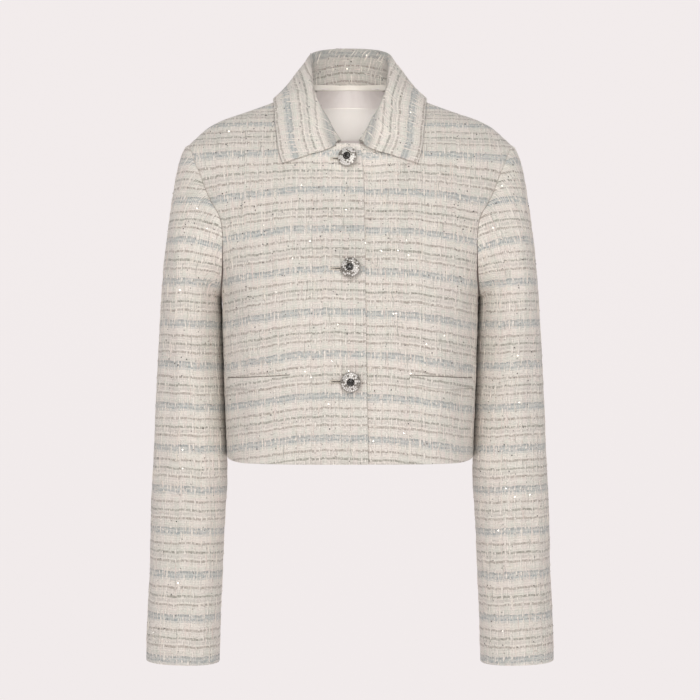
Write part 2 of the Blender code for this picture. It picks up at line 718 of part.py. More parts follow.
# ---------------------------------------------------------------- buttons

FIRST_BUTTON = -75.0
BUTTON_PITCH = 125.0
BUTTON_STANDS = (4.4, 4.0, 2.8)  # from the cloth to the middle of each button's back
SHANK_RADIUS = 1.7
BUTTON_SIDES = (-2.2, 1.1, 1.1)  # distance of each button from the centre front
# How each button hangs on its shank, in degrees: turned to the wearer's right, and nodding down
BUTTON_TILTS = ((14.0, -14.0), (12.0, 0.0), (4.0, 4.0))

# Half sections, as distance from the button's axis and height over its back
BUTTON_PROFILE = (
    *((SHANK_RADIUS, -0.7), (2.6, 0), (8.6, 0), (10.6, 0.7), (11.5, 1.9), (11.3, 2.6)),
    *((10.2, 3.4), (8.2, 4.6), (5.8, 5.5), (3.6, 5.9), (3.3, 5.2), (0, 5.2)),
)
STONE_PROFILE = ((0, 5.5), (2.5, 5.5), (2.9, 6.0), (2.4, 6.9), (1.3, 7.4), (0, 7.5))
BUTTON_SIDES_ROUND = 26
STONE_SIDES_ROUND = 16


def turned_solid(name, profile, sides, place, finish):
    """A solid turned round its axis from a profile that starts and ends on the axis."""
    angles = np.linspace(0, 2 * np.pi, sides, endpoint=False)
    middle = profile[1:-1]
    points = [(0.0, 0.0, profile[0][1])]
    points += [(r * math.cos(a), r * math.sin(a), z) for r, z in middle for a in angles]
    points.append((0.0, 0.0, profile[-1][1]))
    last = len(points) - 1
    faces = []
    for k in range(sides):
        after = (k + 1) % sides
        faces.append((0, 1 + after, 1 + k))
        faces.append((last, last - sides + k, last - sides + after))
        for ring in range(len(middle) - 1):
            low, high = 1 + ring * sides, 1 + (ring + 1) * sides
            faces.append((low + k, low + after, high + after, high + k))
    moved = [place @ Vector(point) for point in points]
    return add_object(name, moved, faces, finish)


def button_place(number):
    """Where a button sits, with its axis along Z in its own frame, and how long its shank is, down to the
    cloth that it is tilted on."""
    height = FIRST_BUTTON - BUTTON_PITCH * number
    side = BUTTON_SIDES[number]
    turn = np.asarray(turn_at(side, height))
    cloth_point = torso(turn, height)
    outward = normals_of(torso, turn, np.asarray(height), 0.5, 1.0)
    aside, nod = BUTTON_TILTS[number]
    facing = Vector(outward).to_track_quat("Z", "Y").to_matrix().to_4x4()
    hang = Matrix.Rotation(math.radians(-aside), 4, "Z") @ Matrix.Rotation(math.radians(nod), 4, "X")
    stand = BUTTON_STANDS[number]
    place = Matrix.Translation(Vector(cloth_point + stand * outward)) @ hang @ facing
    tilt = place.to_3x3().col[2].angle(Vector(outward))
    return place, (stand - LAYER_GAP - SHANK_RADIUS * math.sin(tilt)) / math.cos(tilt)


def build_buttons(silver, dark):
    for number in range(len(BUTTON_SIDES)):
        place, shank = button_place(number)
        profile = ((0, -shank), (SHANK_RADIUS, -shank), *BUTTON_PROFILE)
        turned_solid(f"button_{number + 1}", profile, BUTTON_SIDES_ROUND, place, silver)
        turned_solid(f"stone_{number + 1}", STONE_PROFILE, STONE_SIDES_ROUND, place, dark)


# ---------------------------------------------------------------- the jacket

for old in list(bpy.data.objects):
    bpy.data.objects.remove(old)

tweed_finish = material("tweed", (0.74, 0.70, 0.63), 0.9)
satin_finish = material("satin", (0.76, 0.70, 0.66), 0.4)
tape_finish = material("tape", (0.80, 0.76, 0.68), 0.7)
label_finish = material("label", (0.88, 0.85, 0.81), 0.55)
silver_finish = material("silver", (0.62, 0.62, 0.60), 0.25, 1.0)
stone_finish = material("dark_stone", (0.02, 0.02, 0.018), 0.12)

build_fronts(tweed_finish)
build_back(tweed_finish)
build_welts(tweed_finish)
build_sleeves(tweed_finish)
build_collar(tweed_finish)
build_neck_inside(satin_finish, tape_finish, label_finish)
build_buttons(silver_finish, stone_finish)
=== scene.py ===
"""A cropped tweed jacket in the hollow form that it keeps when it is worn, dressed piece by piece.

Lengths of cloth are in millimetres until a mesh is made. X runs to the wearer's left, the front faces -Y,
and the origin is the middle of the neck, level with the inner ends of the shoulder seams.
"""

import math

import bpy
import numpy as np
from mathutils import Matrix, Vector


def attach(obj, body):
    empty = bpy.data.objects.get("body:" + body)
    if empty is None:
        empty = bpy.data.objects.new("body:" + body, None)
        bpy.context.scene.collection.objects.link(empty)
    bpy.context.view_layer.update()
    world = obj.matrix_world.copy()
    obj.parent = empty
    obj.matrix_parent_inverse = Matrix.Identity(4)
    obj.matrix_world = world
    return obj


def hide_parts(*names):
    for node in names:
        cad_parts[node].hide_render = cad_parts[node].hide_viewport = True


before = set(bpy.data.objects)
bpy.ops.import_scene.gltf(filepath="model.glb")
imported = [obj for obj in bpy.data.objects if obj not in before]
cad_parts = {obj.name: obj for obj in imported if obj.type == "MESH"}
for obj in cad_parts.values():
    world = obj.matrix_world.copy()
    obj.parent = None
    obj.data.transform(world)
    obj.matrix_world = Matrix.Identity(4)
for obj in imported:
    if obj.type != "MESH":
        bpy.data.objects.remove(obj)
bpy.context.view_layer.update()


# ---------------------------------------------------------------- the two fronts
# Each front is one piece of bouclé tweed, fused to canvas and lined with satin, from the centre overlap to
# the side seam and up to the shoulder. It is shaped over the bust and hangs straight to a cropped hem. The
# wearer's right front lies on top.

MM = 0.001
TWEED_WALL = 2.4  # tweed, canvas and lining together
SEAM_GAP, LAYER_GAP = 0.16, 0.5
FINE = 241  # points at which a line on the cloth is measured


def table(columns, *rows):
    """A small table as one array for each named column."""
    return dict(zip(columns.split(), np.array(rows, float).T))


def bent(start, leave, end, arrive, s):
    """The smooth way from start to end at shares s, by the ways in which it leaves and arrives."""
    low = start * (1 + 2 * s) * (1 - s) ** 2 + leave * s * (1 - s) ** 2
    return low + end * s**2 * (3 - 2 * s) + arrive * s**2 * (s - 1)


def through(knots, values, at):
    """The smooth curve through values at rising knots, read at the places in at."""
    step = np.diff(knots)
    rise = np.diff(values) / step
    inner = (step[1:] * rise[:-1] + step[:-1] * rise[1:]) / (step[1:] + step[:-1])
    slope = np.concatenate([rise[:1], inner, rise[-1:]])
    at = np.clip(at, knots[0], knots[-1])
    k = np.clip(np.searchsorted(knots, at, side="right") - 1, 0, len(step) - 1)
    h = step[k]
    return bent(values[k], slope[k] * h, values[k + 1], slope[k + 1] * h, (at - knots[k]) / h)


def row_at(rows, at):
    """A table read between its rows, by its first column."""
    first = next(iter(rows.values()))
    return {name: through(first, values, at) for name, values in rows.items()}


def ease(value):
    """0 to 1 with a soft start and end."""
    value = np.clip(value, 0.0, 1.0)
    return value * value * (3 - 2 * value)


def length_of(vectors):
    return np.linalg.norm(vectors, axis=-1)


def unit(vectors):
    return vectors / np.maximum(length_of(vectors)[..., None], 1e-9)


def runs(points, axis=0):
    """Distance run along a line, or along each line of a grid one way, at its points."""
    return np.insert(np.cumsum(length_of(np.diff(points, axis=axis)), axis=axis), 0, 0, axis=axis)


def normals_of(form, a, b, step_a=0.5, step_b=1.0):
    """Outward normals of a form, a function of two numbers, where a runs to the right of b."""
    along_a = form(a + step_a, b) - form(a - step_a, b)
    return unit(np.cross(along_a, form(a, b + step_b) - form(a, b - step_b)))


# Level sections of the body from hem to back neck: two half ovals that meet at the side, on y = side
TORSO = table(
    "height half_width side front back front_square back_square",
    (-440, 139.8, 0, 122, 105, 2.9, 2.6), (-425, 140.2, 0, 122.5, 106, 2.9, 2.6),
    (-340, 143.5, 0, 124.5, 109, 2.9, 2.6), (-262, 145.8, 0, 123.5, 112, 2.9, 2.6),
    (-228, 147, 1, 121, 113, 2.85, 2.6), (-205, 151, 2, 116.5, 113.5, 2.8, 2.6),
    (-180, 158, 3, 110, 113.5, 2.75, 2.55), (-140, 173, 4, 97.5, 111, 2.7, 2.5),
    (-100, 188, 5, 83, 106.5, 2.65, 2.4), (-72, 194, 6, 70.5, 100.5, 2.6, 2.3),
    (-58, 189.5, 6, 62.5, 96.5, 2.6, 2.25), (-45, 177, 6, 53.5, 92, 2.55, 2.2),
    (-31, 160, 6, 43, 86, 2.5, 2.15), (-24, 146, 6.5, 37, 82.5, 2.45, 2.1),
    (-17, 126, 7, 31, 79, 2.4, 2.1), (-5, 93, 8, 20.5, 72.5, 2.3, 2.05), (6, 67, 8, 13, 66, 2.2, 2),
    (14, 51, 8, 9, 60.5, 2.2, 2), (23, 36, 8, 5, 54, 2.2, 2), (34, 20, 8, 3, 44, 2.2, 2),
)
# Soft upright folds: place and width in degrees of turn, how far out, or in if negative, and the heights
BODY_FOLDS = table(
    "turn spread depth top bottom",
    (56, 11, -2.2, -255, -440), (40, 10, 1.2, -270, -430), (-54, 12, -2, -240, -440),
    (-37, 10, 1.4, -290, -430), (126, 13, -2.6, -190, -440), (-132, 12, -2.2, -215, -440),
    (158, 15, 1.8, -160, -430), (-160, 14, 1.5, -175, -430),
)
# Smaller creases: the middle, how far they reach each way, how far out or in, and how much they slant
BODY_CREASES = table(
    "turn height spread_turn spread_height depth slant",
    (64, -232, 7, 40, -1.1, 0.22), (-61, -240, 8, 44, -1.2, -0.20), (50, -205, 8, 36, 0.8, 0.16),
    (-47, -214, 7, 38, 0.7, -0.18), (71, -330, 6, 46, 0.9, 0.05), (-69, -342, 7, 40, 0.8, -0.04),
    (24, -392, 9, 30, -0.7, 0.05), (-26, -380, 10, 34, -0.6, -0.03), (39.5, -382, 1.5, 42, -0.55, 0),
    (-39.5, -382, 1.5, 42, -0.55, 0), (8, -200, 5, 9, 0.5, 0.6), (-9, -325, 5, 10, 0.5, -0.5),
    (112, -226, 9, 36, -1.3, -0.22), (-115, -236, 8, 40, -1.2, 0.20), (145, -120, 15, 30, -1.1, 0.25),
    (-148, -128, 13, 34, -1.2, -0.22), (140, -330, 9, 60, 0.9, 0.04), (-138, -345, 10, 50, 0.8, -0.05),
    (180, -300, 12, 90, -1, 0), (172, -64, 14, 12, -0.8, 0.1),
)


def fold_depth(folds, around, height):
    """How far the folds move the cloth out, at this place round the form and this height."""
    total = 0.0
    for middle, wide, depth, top, bottom in zip(*folds.values()):
        away = np.mod(around - middle + 180, 360) - 180
        down = np.clip((top - height) / (top - bottom), 0.0, 1.0)
        total = total + depth * np.exp(-((away / wide) ** 2)) * np.sin(np.pi * down**0.8) ** 2
    return total[..., None]


def crease_depth(creases, around, height):
    total = 0.0
    for middle, level, wide, reach, depth, slant in zip(*creases.values()):
        up = height - level
        away = np.mod(around - middle - slant * up + 180, 360) - 180
        total = total + depth * np.exp(-((away / wide) ** 2) - (up / reach) ** 2)
    return total


def squared_off(value, square):
    """A sine or cosine bent so that the oval it draws is squarer."""
    return np.sign(value) * np.abs(value) ** (2 / square)


def torso(turn, height):
    """Points of the body's outer face. The turn is 0 at the centre front, 90 at the wearer's left side
    and 180 at the centre back, and negative on the wearer's right."""
    turn, height = np.broadcast_arrays(np.asarray(turn, float), np.asarray(height, float))
    row = row_at(TORSO, height)
    angle = np.radians(turn)
    in_front = np.cos(angle) >= 0
    square = np.where(in_front, row["front_square"], row["back_square"])
    depth = np.where(in_front, row["front"], row["back"])
    x = row["half_width"] * squared_off(np.sin(angle), square)
    points = np.stack([x, row["side"] - depth * squared_off(np.cos(angle), square), height], -1)
    centre = np.stack([x * 0, row["side"], height], -1)
    return points + unit(points - centre) * fold_depth(BODY_FOLDS, turn, height)


def torso_layer(places, lift):
    """Points at places, (turn, height), on a face this far outside the creased torso."""
    turn, height = places[..., 0], places[..., 1]
    out = lift + crease_depth(BODY_CREASES, turn, height)
    return torso(turn, height) + out[..., None] * normals_of(torso, turn, height)


def turn_at(side, height, square="front_square"):
    """The turn at which the front of the torso is this far to the side."""
    row = row_at(TORSO, height)
    share = np.clip(np.abs(side) / row["half_width"], 0, 1) ** (row[square] / 2)
    return np.sign(side) * np.degrees(np.arcsin(share))


# The seams, drawn on the torso
HEM_HEIGHT, HEM_SIDE_RISE = -416.0, 4.0
UNDERARM, SHOULDER_TIP = -228.0, -53.0
ARMHOLE = table(
    "angle front_reach back_reach",
    (0, 0, 0), (20, 17, 11), (50, 30, 24), (65, 32, 27), (78, 34, 29), (90, 37, 29), (102, 35, 28),
    (116, 29.5, 26), (143, 18, 17), (180, 0, 0),
)
NECKLINE = table(
    "turn height",
    (0, -56), (1.5, -56), (4, -50), (9, -37.5), (20, -21), (40, -7), (65, 2), (90, 6), (120, 13.5),
    (150, 20.5), (165, 22), (180, 22.4),
)
FRONT_EDGE = table(
    "height reach",
    (-425, 20.5), (-260, 17.5), (-130, 16), (-90, 15), (-72, 13.5), (-50, 10.8),
)


def hem_height(turn):
    return HEM_HEIGHT + HEM_SIDE_RISE * ease((np.abs(turn) - 50) / 40)


def neck_height(turn):
    return through(NECKLINE["turn"], NECKLINE["height"], np.abs(turn))


def evenly(values, points, count):
    """Values along a line of points, read where it is cut into even lengths."""
    run = runs(points)
    return np.interp(np.linspace(0, run[-1], count), run, values)


def neck_places(first_turn, last_turn, count):
    """Evenly spaced (turn, height) places along the neckline."""
    turns = np.linspace(first_turn, last_turn, FINE)
    at = evenly(turns, torso(turns, neck_height(turns)), count)
    return np.stack([at, neck_height(at)], -1)


def armhole(angle):
    """(turn, height) round the armhole: 0 at the shoulder, 90 in front, 180 under the arm, 270 behind."""
    folded = np.where(angle > 180, 360 - angle, angle)
    row = row_at(ARMHOLE, folded)
    turn = 90 + np.where(angle > 180, row["back_reach"], -row["front_reach"])
    middle, half = (SHOULDER_TIP + UNDERARM) / 2, (SHOULDER_TIP - UNDERARM) / 2
    return turn, middle + half * np.cos(np.radians(folded))


def rows_between(starts, ends, columns):
    """Rows of evenly spaced (turn, height) places on the torso, from each start to its end."""
    share = np.linspace(0, 1, FINE)[:, None]
    rows = []
    for start, end in zip(starts, ends):
        line = start * (1 - share) + end * share
        at = evenly(share[:, 0], torso(*line.T), columns + 1)[:, None]
        rows.append(start * (1 - at) + end * at)
    return np.array(rows)


def drawn_in(places, column):
    """The grid of places drawn back from the seams on its last row, and on its first or last column."""
    places = places.copy()
    beside = 1 if column == 0 else -2
    for edge, inside in ((places[-1], places[-2]), (places[:, column], places[:, beside])):
        apart = length_of(torso(*edge.T) - torso(*inside.T))
        edge += (inside - edge) * (SEAM_GAP / 2 / apart)[:, None]
    return places


BELOW_ROWS, ARMHOLE_ROWS, NECKLINE_ROWS, HALF_COLUMNS = 90, 90, 48, 105
CLOSER_TO_THE_NECK, CENTRE_DROP = 1.6, 7.0
UNDERLAP = TWEED_WALL + LAYER_GAP
UNDERLAP_SETS_IN, UNDERLAP_IS_FULL = 60.0, 27.0
ROLL, SEAM_ROLL = 1.0, 0.45  # how round the turned edges and the edges along seams are


def centre_heights(hem, neck):
    """Heights of the rows on the centre: level with the side as far as the underarm, then to the neck."""
    level = UNDERARM - CENTRE_DROP
    share = 1 - (1 - np.linspace(0, 1, ARMHOLE_ROWS - NECKLINE_ROWS + 1)[1:]) ** CLOSER_TO_THE_NECK
    return np.concatenate([np.linspace(hem, level, BELOW_ROWS + 1), level + (neck - level) * share])


def up_the_side(last):
    """Places up the side seam and round half of the armhole, in front as far as 0 or behind to 360."""
    up = np.linspace(hem_height(90.0), UNDERARM, BELOW_ROWS + 1)
    round_it = np.stack(armhole(np.linspace(180, last, ARMHOLE_ROWS + 1)[1:]), -1)
    return np.vstack([np.stack([up * 0 + 90.0, up], -1), round_it])


def front_places():
    """The left front from its edge past the centre to the side seam and the armhole, hem to shoulder."""
    heights = centre_heights(HEM_HEIGHT, neck_height(1.5))
    turns = turn_at(-row_at(FRONT_EDGE, heights)["reach"], heights)
    neck = neck_places(turns[-1], 90.0, NECKLINE_ROWS + 1)[1:]
    inner = np.vstack([np.stack([turns, heights], -1), neck])
    places = rows_between(inner, up_the_side(0), HALF_COLUMNS)
    places[0, :, 1] = hem_height(places[0, :, 0])
    return drawn_in(places, -1)


def under_the_right_front(places, lift):
    """A layer of the left front, which steps back near the centre to lie under the right one."""
    side = torso(places[..., 0], places[..., 1])[..., 0]
    share = ease((UNDERLAP_SETS_IN - side) / (UNDERLAP_SETS_IN - UNDERLAP_IS_FULL))
    return torso_layer(places, lift - share * UNDERLAP)


def other_side(grid):
    """The same piece for the wearer's other side, with its columns turned round to face out."""
    return grid[:, ::-1] * np.array([-1.0, 1.0, 1.0][: grid.shape[-1]])


NEXT_TO_THE_RIM = np.array([0.0, 0.07, 0.21, 0.48])  # lines of points there, in shares of a cell


def closer_at_the_rim(places):
    """The grid of places with more rows, and then more columns, close to its rim."""
    for _ in range(2):
        last = len(places) - 1
        at = np.concatenate([NEXT_TO_THE_RIM, np.arange(1, last), last - NEXT_TO_THE_RIM[::-1]])
        low = np.minimum(at.astype(int), last - 1)
        share = (at - low)[:, None, None]
        places = (places[low] * (1 - share) + places[low + 1] * share).swapaxes(0, 1)
    return places


def rolled_under(face, bottom=ROLL, top=ROLL, first=ROLL, last=ROLL):
    """How far each point of a face turns in, so that the cloth rounds off towards its rim. The four numbers
    say how round its first and last row and column are."""
    turned_in = np.zeros(face.shape[:2])
    for axis, rolls in ((0, (bottom, top)), (1, (first, last))):
        run = runs(face, axis)
        for near, roll in zip((run, np.take(run, [-1], axis) - run), rolls):
            short = np.clip(roll - near, 0, roll)
            turned_in = np.maximum(turned_in, roll - np.sqrt(roll**2 - short**2))
    return turned_in


# How much lower the weft lies at the side of the body than at the centre, by height
DROOP = table(
    "height low",
    (-440, 17), (-300, 16.8), (-250, 14.5), (-197, 13.5), (-106, 8.5), (-70, 2), (-45, 0),
)
DROOP_SIDE, DROOP_CURVE = 140.0, 1.9
# How far the stripes lie below their even pitch, by height, and how much lower still they dip at the centre
EASED = table(
    "height below",
    (-660, 3.4), (-566, 2.9), (-500, 1.2), (-430, 0), (-370, 0.2), (-310, 1.5), (-250, 2.2), (-205, 1.4),
    (-150, -0.6), (-115, -1.1), (-60, -0.8),
)
CENTRE_DIP, DIP_WIDTH = 1.5, 24.0


def grain_of_body(places, middle):
    """Where places on the torso lie in the weave: along the weft from the middle, and up along the warp."""
    turn, height = places[..., 0], places[..., 1]
    levels = np.linspace(-445, 34, FINE)
    run = runs(torso(np.full(FINE, abs(middle - 35.0)), levels))
    up = np.interp(height, levels, run - np.interp(-200.0, levels, run)) - 200.0
    side = np.abs(torso(turn, height)[..., 0]) / DROOP_SIDE
    low = row_at(DROOP, height)["low"] * side**DROOP_CURVE
    low = low + row_at(EASED, height)["below"]
    low = low + CENTRE_DIP * np.exp(-((side * DROOP_SIDE / DIP_WIDTH) ** 2))
    share = np.linspace(0, 1, 25)
    row = torso(middle + (turn - middle)[..., None] * share, height[..., None] + 0 * share)
    weft = np.sign(turn - middle) * length_of(np.diff(row, axis=-2)).sum(-1)
    return np.stack([weft, up + low], -1)


def cells_of(numbers, slit):
    """The cells of a grid, without those across a slit."""
    if slit:
        return np.vstack([cells_of(part, None) for part in np.split(numbers, [slit[1] + 1], axis=1)])
    corners = (numbers[:-1, :-1], numbers[:-1, 1:], numbers[1:, 1:], numbers[1:, :-1])
    return np.stack(corners, -1).reshape(-1, 4)


def numbered(first, shape, slit):
    """Numbers of a grid's points, where the two columns beside a slit are one below it."""
    numbers = first + np.arange(shape[0] * shape[1]).reshape(shape[:2])
    if slit:
        numbers[: slit[0] + 1, slit[1] + 1] = numbers[: slit[0] + 1, slit[1]]
    return numbers


def round_the_rim(shape, slit):
    """Rows and columns of the points on a grid's rim, in a loop that goes down and up a slit."""
    top, end = shape[0] - 1, shape[1] - 1
    stops = [(0, 0), (0, end), (top, end), (top, 0), (0, 0)]
    if slit:
        low, left = slit
        stops[3:3] = [(top, left + 1), (low, left + 1), (low, left), (top, left)]
    loop = []
    for (row, column), (to_row, to_column) in zip(stops, stops[1:]):
        steps = max(abs(to_row - row), abs(to_column - column))
        way = (to_row - row) // steps, (to_column - column) // steps
        loop += [(row + k * way[0], column + k * way[1]) for k in range(steps)]
    return np.array([at for at in loop if not slit or at[0] > low or at[1] != left + 1]).T


def piece(name, points, faces, finishes, kinds=None, smooth=True, body="root"):
    """A mesh from points in millimetres, fixed to the jacket. kinds says each face's finish."""
    mesh = bpy.data.meshes.new(name)
    mesh.from_pydata((np.asarray(points, float) * MM).tolist(), [], faces)
    for finish in finishes:
        mesh.materials.append(finish)
    if kinds is not None:
        mesh.polygons.foreach_set("material_index", np.asarray(kinds, np.int32))
    mesh.polygons.foreach_set("use_smooth", np.broadcast_to(smooth, len(faces)).tolist())
    mesh.update()
    made = bpy.data.objects.new(name, mesh)
    bpy.context.scene.collection.objects.link(made)
    if body:
        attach(made, body)
    return made


def sewn(made, slot, solid=None, **cut):
    """Hides the solid that a piece replaces. The piece, its slot and how it is cut are not used."""
    if solid:
        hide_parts(solid)


def wall(name, face, under, grain, finishes, under_finish=None, every=4, slit=None):
    """A closed wall of cloth: a fine face, a plainer under side, and the rim between them. Rows of points
    run up and columns to the right, seen from outside. The under side takes finish 1 where under_finish,
    which is asked for each point, is true. grain is each point's place in the weave. slit is the row from
    which the grid is open up to its top, and the column left of that opening."""
    more = slit or (0, 0)
    rows = np.unique([*range(0, face.shape[0], every), face.shape[0] - 1, more[0]])
    columns = np.unique([*range(0, face.shape[1], every), face.shape[1] - 1, more[1], more[1] + 1])
    plain_slit = slit and tuple(int(np.searchsorted(of, at)) for of, at in zip((rows, columns), slit))
    chosen = np.ix_(rows, columns)
    fine = numbered(0, face.shape, slit)
    plain = numbered(fine.size, (len(rows), len(columns)), plain_slit)
    row, column = round_the_rim(face.shape, slit)
    shared = np.isin(row, rows) & np.isin(column, columns)
    fine_rim = fine[row, column]
    plain_rim = plain[np.searchsorted(rows, row[shared]), np.searchsorted(columns, column[shared])]
    stops = np.append(np.flatnonzero(shared), len(fine_rim))
    fine_rim, plain_rim = np.append(fine_rim, fine_rim[0]), np.append(plain_rim, plain_rim[0])
    front, back = cells_of(fine, slit), cells_of(plain, plain_slit)[:, ::-1]
    used = np.unique(np.concatenate([front.ravel(), back.ravel()]))
    new = np.zeros(fine.size + plain.size, int)
    new[used] = np.arange(len(used))
    rim = [
        [*new[fine_rim[a : b + 1][::-1]].tolist(), int(new[plain_rim[k]]), int(new[plain_rim[k + 1]])]
        for k, (a, b) in enumerate(zip(stops[:-1], stops[1:]))
    ]
    faces = new[front].tolist() + new[back].tolist() + rim
    kinds = np.zeros(len(faces), int)
    if under_finish is not None:
        kinds[len(front) : len(front) + len(back)] = cells_of(under_finish[chosen] + 0, plain_slit).min(-1)
    points, places = (
        np.vstack([grid.reshape(fine.size, -1), more_of.reshape(plain.size, -1)])[used]
        for grid, more_of in ((face, under[chosen]), (grain, grain[chosen]))
    )
    made = piece(name, points, faces, finishes, kinds)
    corner = np.empty(len(made.data.loops), np.int32)
    made.data.loops.foreach_get("vertex_index", corner)
    laid = (places[corner] * MM).astype(np.float32).ravel()
    made.data.uv_layers.new(name="grain").data.foreach_set("uv", laid)
    return made


def node(kind, inputs, tree=None, **settings):
    """A shader node with its settings. Each input is a value or another node's output, and joins its tree."""
    inputs = dict(inputs)
    linked = {place: value for place, value in inputs.items() if isinstance(value, bpy.types.NodeSocket)}
    tree = tree or next(iter(linked.values())).id_data
    made = tree.nodes.new("ShaderNode" + kind)
    for name, value in settings.items():
        setattr(made, name, value)
    for place, value in inputs.items():
        if place in linked:
            tree.links.new(value, made.inputs[place])
        else:
            made.inputs[place].default_value = value
    return made


def calc(operation, *terms):
    return node("Math", enumerate(terms), operation=operation).outputs[0]


def times(value, by, plus=0.0):
    return calc("MULTIPLY_ADD", value, by, plus)


def mixed(share, first, second):
    return node("Mix", {0: share, 6: first, 7: second}, data_type="RGBA").outputs[2]


def spread(value, low, high, to_low=0.0, to_high=1.0):
    """A value brought smoothly from one range to another."""
    inputs = {0: value, 1: low, 2: high, 3: to_low, 4: to_high}
    return node("MapRange", inputs, interpolation_type="SMOOTHSTEP").outputs[0]


def noise(across, along, detail=2.0):
    """Soft noise from 0 to 1 over two coordinates."""
    place = node("CombineXYZ", {0: across, 1: along}).outputs[0]
    inputs = {"Vector": place, "Scale": 1.0, "Detail": detail, "Roughness": 0.6}
    return node("TexNoise", inputs, noise_dimensions="2D").outputs[0]


def chance(across, along=0.0):
    """A random number from 0 to 1 for each whole pair of numbers."""
    place = node("CombineXYZ", {0: across, 1: along}).outputs[0]
    return node("TexWhiteNoise", {"Vector": place}, noise_dimensions="2D").outputs[0]


def colour(red, green, blue):
    """A colour as it is seen, from 0 to 255, as the shader wants it."""
    seen = np.array([red, green, blue]) / 255.0
    linear = np.where(seen <= 0.04045, seen / 12.92, ((seen + 0.055) / 1.055) ** 2.4)
    return (*linear.tolist(), 1.0)


def new_group(name, *colours):
    """A node group that is given a place in the weave and colours, and puts out a colour and a height: its
    tree, the place in millimetres across and up, its input colours and its output node."""
    tree = bpy.data.node_groups.new(name, "ShaderNodeTree")
    sockets = [("Grain", "INPUT", "Vector"), *((label, "INPUT", "Color") for label in colours)]
    for label, way, kind in (*sockets, ("Color", "OUTPUT", "Color"), ("Height", "OUTPUT", "Float")):
        tree.interface.new_socket(label, in_out=way, socket_type="NodeSocket" + kind)
    start, end = tree.nodes.new("NodeGroupInput"), tree.nodes.new("NodeGroupOutput")
    scaled = node("VectorMath", {0: start.outputs[0], 3: 1000.0}, operation="SCALE").outputs[0]
    place = node("SeparateXYZ", {0: scaled}).outputs
    return tree, place[0], place[1], start.outputs[1:], end.inputs


REPEAT = 47.0  # height of one repeat of the weft
REPEAT_TOP = -287.5  # where a repeat starts, on the centre front
WARP_PITCH, SLUB_PITCH = 1.75, 5.6
ROW_SHIFT = 1.2  # how far the rows step up or down between slubs
ROWS_RAISED = 1.35  # makes up for how far the noise in the rows moves them down
YARNS = {
    "slate": (149, 154, 154),
    "blue": (157, 164, 165),
    "mist": (176, 182, 181),
    "cream": (226, 219, 208),
    "milk": (236, 230, 220),
    "blush": (226, 213, 205),
    "sage": (204, 207, 195),
    "taupe": (160, 149, 139),
    "moss": (150, 147, 136),
    "smoke": (182, 175, 168),
}
# The weft of one repeat from the top down: each row's yarn, and how solid it lies over the warp
WEFT_ROWS = (
    *(("slate", 0.9), ("mist", 0.8), ("blue", 0.9), ("mist", 0.4), ("cream", 0.0)),
    *(("milk", 0.2), ("blush", 0.25), ("taupe", 0.8), ("smoke", 0.15), ("cream", 0.0)),
    *(("sage", 0.25), ("moss", 0.95), ("smoke", 0.2), ("smoke", 0.45), ("milk", 0.2)),
    *(("taupe", 0.85), ("smoke", 0.15), ("cream", 0.0), ("sage", 0.35), ("smoke", 0.2)),
)


def weft_ramp(place, shades):
    """The repeat as a ramp with a stop in the middle of each row."""
    ramp = node("ValToRGB", {0: place})
    stops = ramp.color_ramp.elements
    stops.remove(stops[1])
    stops[0].position, stops[0].color = 0.5 / len(shades), shades[0]
    for row, shade in enumerate(shades[1:], 1):
        stops.new((row + 0.5) / len(shades)).color = shade
    return ramp.outputs[0]


